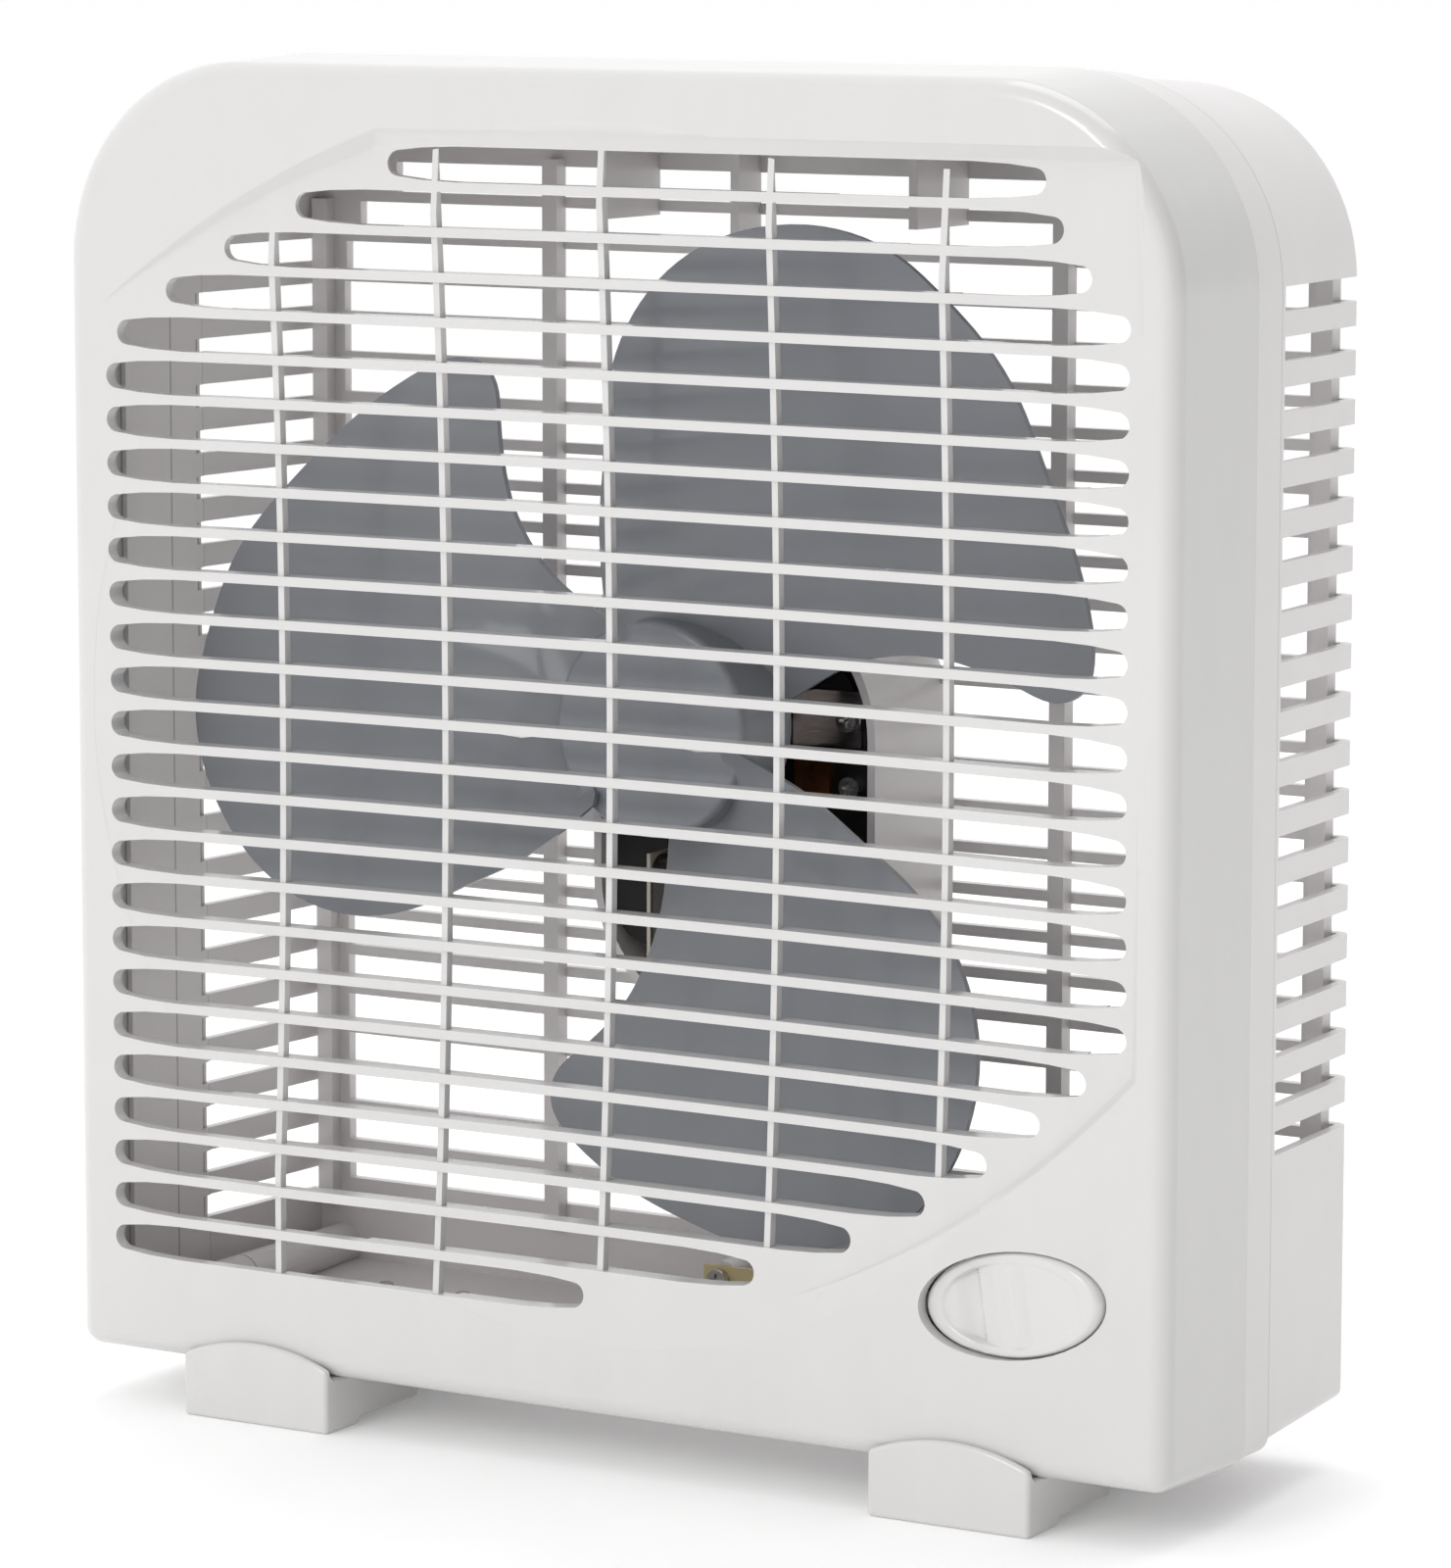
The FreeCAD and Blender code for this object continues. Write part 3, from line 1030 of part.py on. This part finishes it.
def switch_frame():
    """The frame behind the opening: flange, case, ears for the pin."""
    back = "switch_back"
    flange = block("frame_flange", ("-33", "33"), (back, f"{back} + 2"), ("-9", "9"), LOOSE)
    case = block("frame_case", ("-16", "16"), (back, f"{back} + 16"), ("-9", "9"), LOOSE)
    ears = [block(f"frame_ear_{n}", ("-3.5", "3.5"), ("2.4", back), (low, high), LOOSE)
            for n, (low, high) in enumerate((("6", "9"), ("-9", "-6")))]
    cavity = block("frame_cavity", ("-13", "13"), (f"{back} + 3", f"{back} + 13"), ("-7", "7"),
                   LOOSE)
    slot = block("frame_slot", ("-4", "4"), (f"{back} - 1", f"{back} + 4"), ("-3", "3"), LOOSE)
    tools = [cavity, slot,
             upright("frame_pin_hole", "pivot_radius + bore_play", "0", "pivot_depth",
                     ("-12", "12"), LOOSE)]
    for n, side in enumerate((-1, 1)):
        tools.append(rod(f"frame_screw_hole_{n}", "1.25 + screw_play", f"{side} * switch_screw_x",
                         (f"{back} - 1", f"{back} + 3"), "0", LOOSE))
        tools.append(block(f"terminal_slot_{n}", (f"{side} * 9 - 0.5", f"{side} * 9 + 0.5"),
                           (f"{back} + 12", f"{back} + 17"), ("-2.5", "2.5"), LOOSE))
    solid = cut("frame_solid", fuse("frame_blank", [flange, case] + ears),
                fuse("frame_cuts", tools))
    keep("switch_housing", on_switch(solid))
    pin = upright("pin_bar", "pivot_radius", "0", "pivot_depth", ("-9", "9"), LOOSE)
    keep("rocker_pin", on_switch(group("rocker_pin_bar", [pin])))
    # contact arm: leans against the rocker, the other way
    arm = block("arm_bar", ("-11", "11"), ("0", "0.8"), ("-2", "2"), LOOSE)
    keep("contact_arm", on_switch(group("contact_arm_bar", [arm]), "arm_depth",
                                  dim("rocker_throw") / 2))
    tabs = []
    for n, side in enumerate((-1, 1)):
        tab = block(f"tab_{n}", (f"{side} * 9 - 0.4", f"{side} * 9 + 0.4"),
                    (f"{back} + 10.2", f"{back} + 23"), ("-2.4", "2.4"), LOOSE)
        tabs.append(tab)
    keep("switch_terminals", on_switch(group("terminal_pair", tabs)))
    screws = []
    for n, side in enumerate((-1, 1)):
        across = f"{side} * switch_screw_x"
        head = rod(f"switch_screw_head_{n}", "2.4", across, (f"{back} + 2", f"{back} + 3.8"), "0",
                   LOOSE)
        shank = rod(f"switch_screw_shank_{n}", "1.25", across, ("face_wall + 1.5", f"{back} + 2"),
                    "0", LOOSE)
        screws.append(fuse(f"switch_screw_{n}", [head, shank]))
    keep("switch_screws", on_switch(group("switch_screw_set", screws)))


# -------------------------------------------------------------------------------- wiring
def wire(label, route, radius):
    """A lead along straight runs joined by tangent arcs."""
    points = [at(*point) for point in route]
    edges, start = [], points[0]
    for before, corner, after in zip(points, points[1:], points[2:]):
        back, ahead = before - corner, after - corner
        reach = 0.45 * min(back.Length, ahead.Length)
        back.normalize()
        ahead.normalize()
        enter, leave = corner + back * reach, corner + ahead * reach
        half = back.getAngle(ahead) / 2
        middle = back + ahead
        middle.normalize()
        bend = reach * math.tan(half)
        centre = corner + middle * (reach / math.cos(half))
        edges.append(Part.LineSegment(start, enter).toShape())
        edges.append(Part.Arc(enter, centre - middle * bend, leave).toShape())
        start = leave
    edges.append(Part.LineSegment(start, points[-1]).toShape())
    path = Part.Wire(edges)
    ring = Part.makeCircle(radius, points[0], points[1] - points[0])
    tube = path.makePipeShell([Part.Wire([ring])], True, True)
    print(label, "length", round(path.Length), "error",
          round(tube.Volume / (math.pi * radius ** 2 * path.Length) - 1, 4))
    return keep(label, shaped(f"{label}_tube", tube))


def leads():
    """Three leads: inlet to switch, switch to coil, coil to inlet."""
    tab = on_switch(doc.addObject("Part::Feature", "tab_places"))
    doc.recompute()
    ends = [tab.Placement.multVec(V(side * 9, dim("switch_back") + 23.3, 0)) for side in (-1, 1)]
    doc.removeObject(tab.Name)
    zero = at(0, 0, 0)
    left, right = [(end.x - zero.x, end.y - zero.y, end.z - zero.z) for end in ends]
    gauge = 1.2
    wire("switch_lead", [(-7, 96, -73), (-7, 91, -96), (-7, 88, -120), (-4, 86, -141),
                         (12, 82, -156), (40, 80, -157.5), (70, 76, -156), (92, 66, -150),
                         (left[0] - 3, 50, left[2] - 5), left], gauge)
    inlet_x, inlet_z = dim("inlet_x"), dim("inlet_z")
    wire("supply_lead", [(inlet_x, 97, inlet_z - 1.6), (104, 89, -154), (117, 76, -151),
                         (right[0] + 1, 56, right[2] - 6), right], gauge)
    wire("return_lead", [(-11.4, 96, -73), (-12, 93, -92), (-10, 92, -118), (-1, 92, -142),
                         (20, 91, -152), (58, 91, -156), (84, 93, -151),
                         (inlet_x, 97, inlet_z + 1.6)], gauge)


def inlet():
    """The grommet of the mains cord, in a shallow seat of the rear wall."""
    back = "cover_depth + rim_depth + shell_depth"
    x, z = "inlet_x", "inlet_z"
    pieces = [rod("grommet_lip", "gland_seat - 0.1", x, (f"{back} - 1.1", back), z),
              rod("grommet_neck", "gland_radius - 0.1", x, (f"{back} - 5", f"{back} - 0.5"), z),
              rod("grommet_bead", "6", x, (f"{back} - 5", f"{back} - rear_skin - 0.1"), z)]
    hole = rod("grommet_hole", "3.2", x, (f"{back} - 8", f"{back} + 1"), z)
    keep("cord_grommet", cut("grommet", fuse("grommet_blank", pieces), hole))


def lead_clamp():
    """A small plate that holds the leads on the post in the floor."""
    plate = block("clamp_plate", ("clamp_x - 5", "clamp_x + 13.5"),
                  ("clamp_depth - 1.4", "clamp_depth"), ("clamp_z - 3.5", "clamp_z + 3.5"))
    hole = rod("clamp_hole", "clamp_bore", "clamp_x", ("clamp_depth - 4", "clamp_depth + 2"),
               "clamp_z")
    keep("lead_clamp", cut("clamp", plate, hole))
    keep("clamp_screw", screw("clamp_screw_solid", "clamp_x", "clamp_depth - 3.8", "clamp_z",
                              "clamp_bore - screw_play", "2.8", "2.4", "12"))


# --------------------------------------------------------------------------- write out
front_cover()
rear_housing()
foot("left_foot", -1)
foot("right_foot", 1)
housing_screws()
foot_screws()
stator_core()
shading_rings()
coil()
motor_bracket("front_bracket", True)
motor_bracket("rear_bracket", False)
bearing("front_bearing", ("bridge_front + 0.5", "bridge_front + 0.5 + bearing_length"))
bearing("rear_bearing", ("bridge_back - bearing_length", "bridge_back"))
motor_screws()
rotor()
rocker()
switch_frame()
leads()
inlet()
lead_clamp()
doc.recompute()
failed = [thing.Name for thing in doc.Objects if {"Invalid", "Error"} & set(thing.State)]
if failed:
    raise RuntimeError(f"failed objects: {failed}")
os.makedirs("parts", exist_ok=True)
for label, thing in parts.items():
    shape = thing.Shape
    if shape.isNull() or not shape.isValid():
        raise RuntimeError(f"bad shape: {label}")
    shape.exportStep(f"parts/{label}.step")
    print(label, len(shape.Solids), round(shape.Volume))
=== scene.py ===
import json
import math

import bmesh
import bpy
from mathutils import Matrix, Vector


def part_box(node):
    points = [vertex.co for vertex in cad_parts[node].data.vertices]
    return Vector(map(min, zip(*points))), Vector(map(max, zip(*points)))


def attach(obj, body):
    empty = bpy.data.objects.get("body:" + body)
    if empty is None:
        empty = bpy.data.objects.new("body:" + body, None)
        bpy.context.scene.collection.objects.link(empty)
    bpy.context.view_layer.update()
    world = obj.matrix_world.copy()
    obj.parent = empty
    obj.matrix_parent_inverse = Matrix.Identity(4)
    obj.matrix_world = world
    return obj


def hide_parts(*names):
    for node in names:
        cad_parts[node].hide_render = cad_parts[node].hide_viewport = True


# Box fan. Metres, +X right seen from the front, +Y to the rear, +Z up.
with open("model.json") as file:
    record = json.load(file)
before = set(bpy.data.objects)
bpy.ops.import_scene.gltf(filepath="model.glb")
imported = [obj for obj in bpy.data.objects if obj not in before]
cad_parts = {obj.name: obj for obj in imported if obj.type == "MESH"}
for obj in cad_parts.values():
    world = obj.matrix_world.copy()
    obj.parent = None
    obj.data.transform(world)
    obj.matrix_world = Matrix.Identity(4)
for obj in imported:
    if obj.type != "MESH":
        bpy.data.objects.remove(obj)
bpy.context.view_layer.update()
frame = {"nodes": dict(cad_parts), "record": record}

MM = 0.001
FACE_LOW, FACE_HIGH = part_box("front_cover")
FRONT = FACE_LOW[1]                       # depth of the cover's face
SHAFT_LOW, SHAFT_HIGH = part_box("motor_shaft")
AXIS = (SHAFT_LOW[2] + SHAFT_HIGH[2]) / 2  # height of the fan's axis


def spot(across, depth, height):
    """A point from millimetres across, behind the face and above the axis."""
    return Vector((across * MM, FRONT + depth * MM, AXIS + height * MM))


# ----------------------------------------------------------------------------- materials
SKIN = 0.0002                     # height of a moulded or drawn surface's grain, in metres
SHADE_LINE_WIDTH, SHADE_LINE_TONE = 0.6, 0.36  # the painted shade line in the gap between two mouldings: its width in millimetres and its tone
SHADE_LINE_DEPTHS = (38.9, 53.1)        # painted shade lines on both sides of the rim, at these depths behind the face
WAVE_BANDS = 20.0                 # a wave texture's bands for each unit of its scale


def new_material(name):
    material = bpy.data.materials.new(name)
    material.use_nodes = True
    nodes = material.node_tree.nodes
    return material, nodes, material.node_tree.links, nodes["Principled BSDF"]


def noise(nodes, links, scale, detail=3.0, stretch=(1.0, 1.0, 1.0)):
    """Noise laid out on the object's own coordinates."""
    place = nodes.new("ShaderNodeTexCoord")
    mapping = nodes.new("ShaderNodeMapping")
    mapping.inputs["Scale"].default_value = stretch
    texture = nodes.new("ShaderNodeTexNoise")
    texture.inputs["Scale"].default_value = scale
    texture.inputs["Detail"].default_value = detail
    links.new(place.outputs["Object"], mapping.inputs["Vector"])
    links.new(mapping.outputs["Vector"], texture.inputs["Vector"])
    return texture.outputs["Fac"]


def ramp(nodes, links, value, stops):
    thing = nodes.new("ShaderNodeValToRGB")
    while len(thing.color_ramp.elements) < len(stops):
        thing.color_ramp.elements.new(0.5)
    for element, (place, color) in zip(thing.color_ramp.elements, stops):
        element.position = place
        element.color = (*color, 1.0)
    links.new(value, thing.inputs["Fac"])
    return thing.outputs["Color"]


def spread(nodes, links, value, low, high):
    thing = nodes.new("ShaderNodeMapRange")
    thing.inputs["To Min"].default_value = low
    thing.inputs["To Max"].default_value = high
    links.new(value, thing.inputs["Value"])
    return thing.outputs["Result"]


def bumped(nodes, links, shader, value, strength, distance):
    bump = nodes.new("ShaderNodeBump")
    bump.inputs["Strength"].default_value = strength
    bump.inputs["Distance"].default_value = distance
    links.new(value, bump.inputs["Height"])
    links.new(bump.outputs["Normal"], shader.inputs["Normal"])


def scaled(color, factor):
    return tuple(min(1.0, channel * factor) for channel in color)


def painted_seam_shade(nodes, links, color, depths):
    """Paint thin lines of shade at depths behind the face, where two mouldings meet and the step
    between them lies in shade.
    """
    place = nodes.new("ShaderNodeTexCoord")
    axes = nodes.new("ShaderNodeSeparateXYZ")
    links.new(place.outputs["Object"], axes.inputs["Vector"])
    for depth in depths:
        near = nodes.new("ShaderNodeMath")
        near.operation = "COMPARE"
        near.inputs[1].default_value = FRONT + depth * MM
        near.inputs[2].default_value = SHADE_LINE_WIDTH * MM / 2
        links.new(axes.outputs["Y"], near.inputs[0])
        shade_mix = nodes.new("ShaderNodeMix")
        shade_mix.data_type = "RGBA"
        links.new(near.outputs[0], shade_mix.inputs["Factor"])
        links.new(color, shade_mix.inputs["A"])
        shade_mix.inputs["B"].default_value = (SHADE_LINE_TONE, SHADE_LINE_TONE, SHADE_LINE_TONE, 1.0)
        color = shade_mix.outputs["Result"]
    return color


def plastic(name, color, rough, grain=0.04, coat=0.0, shade_lines=()):
    """Moulded plastic: faint flow marks, uneven gloss, a fine orange-peel skin."""
    material, nodes, links, shader = new_material(name)
    flow = noise(nodes, links, 110.0, 4.0, (1.0, 1.0, 0.35))
    tint = ramp(nodes, links, flow, [(0.3, scaled(color, 0.98)), (0.7, color)])
    # the seams get thin lines of painted shade laid over the tint
    links.new(painted_seam_shade(nodes, links, tint, shade_lines), shader.inputs["Base Color"])
    smear = noise(nodes, links, 55.0, 5.0)
    links.new(spread(nodes, links, smear, rough * 0.8, rough * 1.25), shader.inputs["Roughness"])
    skin = noise(nodes, links, 900.0, 2.0)
    bumped(nodes, links, shader, skin, grain, SKIN)
    shader.inputs["IOR"].default_value = 1.5
    shader.inputs["Coat Weight"].default_value = coat
    shader.inputs["Coat Roughness"].default_value = 0.08
    return material


def metal(name, color, rough, stretch=(1.0, 1.0, 1.0), grain=0.05):
    """Bare metal: streaked roughness and a fine drawn grain."""
    material, nodes, links, shader = new_material(name)
    shader.inputs["Metallic"].default_value = 1.0
    marks = noise(nodes, links, 220.0, 6.0, stretch)
    tint = ramp(nodes, links, marks, [(0.25, scaled(color, 0.72)), (0.65, color)])
    links.new(tint, shader.inputs["Base Color"])
    links.new(spread(nodes, links, marks, rough * 0.7, rough * 1.4), shader.inputs["Roughness"])
    bumped(nodes, links, shader, marks, grain, SKIN)
    return material


def laminated(name, color, pitch):
    """A stack of varnished sheets: dark seams across the depth."""
    material, nodes, links, shader = new_material(name)
    place = nodes.new("ShaderNodeTexCoord")
    bands = nodes.new("ShaderNodeTexWave")
    bands.bands_direction = "Y"
    bands.inputs["Scale"].default_value = 1.0 / pitch / WAVE_BANDS
    bands.inputs["Distortion"].default_value = 0.2
    links.new(place.outputs["Object"], bands.inputs["Vector"])
    tint = ramp(nodes, links, bands.outputs["Fac"], [(0.1, scaled(color, 0.35)), (0.35, color)])
    links.new(tint, shader.inputs["Base Color"])
    shader.inputs["Metallic"].default_value = 0.6
    streak = noise(nodes, links, 160.0, 4.0)
    links.new(spread(nodes, links, streak, 0.3, 0.55), shader.inputs["Roughness"])
    bumped(nodes, links, shader, bands.outputs["Fac"], 0.4, SKIN)
    return material


def wrapped(name, color):
    """Glossy insulation tape wound over the coil, with its overlaps."""
    material, nodes, links, shader = new_material(name)
    place = nodes.new("ShaderNodeTexCoord")
    turns = nodes.new("ShaderNodeTexWave")
    turns.bands_direction = "X"
    turns.wave_profile = "SAW"
    turns.inputs["Scale"].default_value = 9.0
    turns.inputs["Distortion"].default_value = 1.2
    turns.inputs["Detail"].default_value = 1.0
    links.new(place.outputs["Object"], turns.inputs["Vector"])
    tint = ramp(nodes, links, turns.outputs["Fac"], [(0.0, scaled(color, 0.5)), (0.4, color)])
    links.new(tint, shader.inputs["Base Color"])
    wrinkle = noise(nodes, links, 240.0, 3.0)
    links.new(spread(nodes, links, wrinkle, 0.16, 0.4), shader.inputs["Roughness"])
    bumped(nodes, links, shader, turns.outputs["Fac"], 0.5, 0.0005)
    return material


MATERIALS = {
    "case_white": lambda: plastic("cover_plastic", (0.645, 0.638, 0.63), 0.24, coat=0.4),
    # the housing gets painted shade lines at the seams beside its rim
    "case_grey": lambda: plastic("housing_plastic", (0.74, 0.712, 0.71), 0.34, coat=0.15,
                                 shade_lines=SHADE_LINE_DEPTHS),
    "blade_plastic": lambda: plastic("blade_plastic", (0.235, 0.247, 0.27), 0.36, grain=0.06,
                                     coat=0.2),
    "switch_white": lambda: plastic("switch_plastic", (0.66, 0.65, 0.645), 0.18, coat=0.6),
    "switch_body": lambda: plastic("switch_case_plastic", (0.03, 0.03, 0.03), 0.5),
    "bobbin": lambda: plastic("bobbin_plastic", (0.62, 0.58, 0.48), 0.45),
    "nylon": lambda: plastic("nylon", (0.66, 0.55, 0.30), 0.45),
    "coil_tape": lambda: wrapped("coil_tape", (0.022, 0.014, 0.011)),
    "lead_black": lambda: plastic("lead_black", (0.02, 0.02, 0.02), 0.4),
    "lead_white": lambda: plastic("lead_white", (0.75, 0.74, 0.71), 0.4),
    "rubber_black": lambda: plastic("grommet_rubber", (0.03, 0.03, 0.03), 0.6, grain=0.1),
    "steel": lambda: metal("screw_steel", (0.62, 0.61, 0.58), 0.25),
    "zinc": lambda: metal("bracket_zinc", (0.36, 0.33, 0.32), 0.22, (1.0, 1.0, 8.0)),
    "shaft_steel": lambda: metal("shaft_steel", (0.6, 0.6, 0.61), 0.2, (8.0, 1.0, 8.0)),
    "copper": lambda: metal("strap_copper", (0.62, 0.22, 0.09), 0.28),
    "bronze": lambda: metal("bearing_bronze", (0.5, 0.32, 0.14), 0.4, grain=0.2),
    "brass": lambda: metal("terminal_brass", (0.68, 0.5, 0.2), 0.25),
    "lamination": lambda: laminated("core_sheets", (0.045, 0.042, 0.042), 0.0007),
}


def dress():
    """Give every CAD node the finish of its slot."""
    made = {name: build() for name, build in MATERIALS.items()}
    for part in frame["record"]["subparts"]:
        thing = frame["nodes"][part["node"]]
        thing.data.materials.clear()
        thing.data.materials.append(made[part["material_slot"]])
    return made


# -------------------------------------------------------------------------------- stage
AZIMUTH, DROP, ROLL = 31.02, 7.95, 0.088  # degrees right of the front, down, and of roll
LENS, SENSOR = 162.93, 36.0       # millimetres
STATION = (837.0, -1330.4, 209.0)  # the camera's place, as spot() takes it


def camera():
    """The view: 31 degrees from the right of the front and 8 degrees down."""
    azimuth, drop, roll = math.radians(AZIMUTH), math.radians(DROP), math.radians(ROLL)
    ahead = Vector((-math.sin(azimuth) * math.cos(drop), math.cos(azimuth) * math.cos(drop),
                    -math.sin(drop)))
    right = Vector((math.cos(azimuth), math.sin(azimuth), 0.0))
    up = right.cross(ahead)
    level = Matrix((right, up, -ahead)).transposed()
    data = bpy.data.cameras.new("camera")
    data.sensor_fit = "HORIZONTAL"
    data.sensor_width = SENSOR
    data.lens = LENS
    data.clip_end = 120.0
    thing = bpy.data.objects.new("camera", data)
    thing.matrix_world = Matrix.Translation(spot(*STATION)) @ (
        level @ Matrix.Rotation(roll, 3, "Z")).to_4x4()
    bpy.context.scene.collection.objects.link(thing)
    bpy.context.scene.camera = thing


def area_light(name, place, size, power):
    data = bpy.data.lights.new(name, "AREA")
    data.shape = "RECTANGLE"
    data.size, data.size_y = size
    data.energy = power
    thing = bpy.data.objects.new(name, data)
    thing.location = place
    aim = Vector((0.0, 0.0, AXIS)) - Vector(place)
    thing.rotation_euler = aim.to_track_quat("-Z", "Y").to_euler()
    bpy.context.scene.collection.objects.link(thing)


def studio():
    """A pale sweep, a bright even surround and two soft lights."""
    material, nodes, links, shader = new_material("paper")
    shader.inputs["Roughness"].default_value = 0.9
    fibre = noise(nodes, links, 30.0)
    tint = ramp(nodes, links, fibre, [(0.3, (0.93, 0.93, 0.93)), (0.7, (0.95, 0.95, 0.95))])
    links.new(tint, shader.inputs["Base Color"])
    shader.inputs["Emission Color"].default_value = (1.0, 1.0, 1.0, 1.0)
    shader.inputs["Emission Strength"].default_value = 0.12
    mesh = bpy.data.meshes.new("floor")
    half = 40.0
    mesh.from_pydata([(-half, -half, 0), (half, -half, 0), (half, half, 0), (-half, half, 0)], [],
                     [(0, 1, 2, 3)])
    mesh.materials.append(material)
    floor = bpy.data.objects.new("floor", mesh)
    bpy.context.scene.collection.objects.link(floor)
    bpy.context.scene.view_settings.view_transform = "Standard"
    world = bpy.data.worlds.new("studio")
    bpy.context.scene.world = world
    world.use_nodes = True
    nodes, links = world.node_tree.nodes, world.node_tree.links
    around = nodes.new("ShaderNodeTexCoord")
    axes = nodes.new("ShaderNodeSeparateXYZ")
    links.new(around.outputs["Generated"], axes.inputs["Vector"])
    shade = ramp(nodes, links, spread(nodes, links, axes.outputs["X"], 0.0, 1.0),
                 [(0.35, (1.0, 1.0, 1.0)), (0.6, (0.62, 0.62, 0.63)), (0.9, (0.08, 0.08, 0.085))])
    links.new(shade, nodes["Background"].inputs["Color"])
    nodes["Background"].inputs["Strength"].default_value = 1.05
    area_light("front_light", (-0.5, -2.4, 1.3), (0.6, 0.9), 12.0)
    area_light("top_light", (0.0, 0.6, 2.4), (1.6, 1.6), 14.0)


EDGE_ANGLE, FLAT_ANGLE, WELD = 48.0, 0.6, 0.00001  # degrees, degrees and metres


def softened(name, body, width, segments=2, clamp=True):
    """A moulded piece: the CAD node's shape with its sharp edges rolled over."""
    source = frame["nodes"][name]
    mesh = source.data.copy()
    form = bmesh.new()
    form.from_mesh(mesh)
    bmesh.ops.remove_doubles(form, verts=form.verts, dist=WELD)
    bmesh.ops.dissolve_limit(form, angle_limit=math.radians(FLAT_ANGLE), verts=form.verts,
                             edges=form.edges)
    for face in form.faces:
        face.smooth = True
    form.to_mesh(mesh)
    form.free()
    thing = bpy.data.objects.new(f"{name}_moulding", mesh)
    bpy.context.scene.collection.objects.link(thing)
    bevel = thing.modifiers.new("edges", "BEVEL")
    bevel.width = width * MM
    bevel.segments = segments
    bevel.limit_method = "ANGLE"
    bevel.angle_limit = math.radians(EDGE_ANGLE)
    bevel.use_clamp_overlap = clamp
    bevel.miter_outer = "MITER_ARC"
    even = thing.modifiers.new("shading", "WEIGHTED_NORMAL")
    even.keep_sharp = False
    even.weight = 60
    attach(thing, body)
    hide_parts(name)


# -------------------------------------------------------------------------------- rocker
TILT = math.radians(8.5)          # the oval leans up to the right
LEAN = math.radians(-6.0)         # at rest the left end is pressed in
SWITCH_X, SWITCH_Z = 115.6, -126.0  # middle of the oval, from the fan's axis
CROWN, SKIRT, LID = 4.5, 7.5, 3.6  # depths of the crown, the skirt's end and the inner face
HALF_LONG, HALF_TALL = 24.9, 12.75
INNER_LONG, INNER_TALL = 0.93, 0.88  # the skirt's inside, as shares of its outside
SHARP = 40.0                      # corners above this many degrees stay crisp
PROFILE = [(-25.0, 0.5), (-17.0, 1.3), (-11.6, 3.4), (-10.4, 3.6), (-9.4, 2.2), (-3.0, 0.9),
           (1.2, 0.05), (2.6, 0.25), (5.0, 0.75), (17.0, 0.85), (25.0, 0.6)]


def sunk(across):
    """How far the rocker's face lies behind its crown, in millimetres."""
    for (x0, y0), (x1, y1) in zip(PROFILE, PROFILE[1:]):
        if across <= x1:
            share = (across - x0) / (x1 - x0)
            share = share * share * (3.0 - 2.0 * share)
            return y0 + (y1 - y0) * share
    return PROFILE[-1][1]


def rocker_face(across, height):
    """Depth of the rocker's face: a finger scoop, a thumb pad, and a rolled edge."""
    near = math.hypot(across / HALF_LONG, height / HALF_TALL)
    roll = max(0.0, (near - 0.93) / 0.07)
    step = 0.5 + 0.5 * math.tanh((near - 0.80) / 0.015)
    rim = 0.45 * step * (1.0 if across > -9.0 else 0.3)
    return sunk(across) * (1.0 - 0.75 * step) + rim + 1.3 * roll * roll


def rocker_cap():
    """The oval rocker: a dished face on a tapered skirt."""
    spokes, rings = 128, 44
    form = bmesh.new()
    centre = form.verts.new((0.0, sunk(0.0) - CROWN, 0.0))
    loops = []
    for ring in range(1, rings + 1):
        near = (ring / rings) ** 0.8
        loop = []
        for step in range(spokes):
            angle = 2.0 * math.pi * step / spokes
            x, z = near * HALF_LONG * math.cos(angle), near * HALF_TALL * math.sin(angle)
            loop.append(form.verts.new((x, rocker_face(x, z) - CROWN, z)))
        loops.append(loop)
    last = [form.verts.new((vert.co.x, SKIRT - CROWN, vert.co.z)) for vert in loops[-1]]
    inner = [form.verts.new((vert.co.x * INNER_LONG, SKIRT - CROWN, vert.co.z * INNER_TALL))
             for vert in last]
    deep = [form.verts.new((vert.co.x, LID - CROWN, vert.co.z)) for vert in inner]
    loops += [last, inner, deep]
    for step in range(spokes):
        after = (step + 1) % spokes
        form.faces.new((centre, loops[0][after], loops[0][step]))
        for a, b in zip(loops, loops[1:]):
            form.faces.new((a[step], a[after], b[after], b[step]))
    form.faces.new(deep)
    bmesh.ops.recalc_face_normals(form, faces=form.faces)
    for face in form.faces:
        face.smooth = True
    form.transform(Matrix.Scale(MM, 4))
    mesh = bpy.data.meshes.new("rocker_face")
    form.to_mesh(mesh)
    form.free()
    middle = spot(SWITCH_X, CROWN, SWITCH_Z)
    pose = Matrix.Translation(middle) @ Matrix.Rotation(-TILT, 4, "Y") @ Matrix.Rotation(
        LEAN, 4, "Z")
    mesh.transform(pose)
    thing = bpy.data.objects.new("rocker_face", mesh)
    bpy.context.scene.collection.objects.link(thing)
    mesh.materials.append(finishes["switch_white"])
    sharp_edges(thing)
    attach(thing, "rocker")
    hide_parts("rocker_cap")


def sharp_edges(thing):
    """Keep sharp corners crisp under smooth shading."""
    form = bmesh.new()
    form.from_mesh(thing.data)
    for edge in form.edges:
        if len(edge.link_faces) == 2 and edge.calc_face_angle(0.0) > math.radians(SHARP):
            edge.smooth = False
    form.to_mesh(thing.data)
    form.free()


finishes = dress()
softened("front_cover", "case", 0.7)
softened("left_foot", "case", 1.2, 4, clamp=False)
softened("right_foot", "case", 1.2, 4, clamp=False)
softened("fan_blade", "rotor", 0.5)
rocker_cap()
camera()
studio()
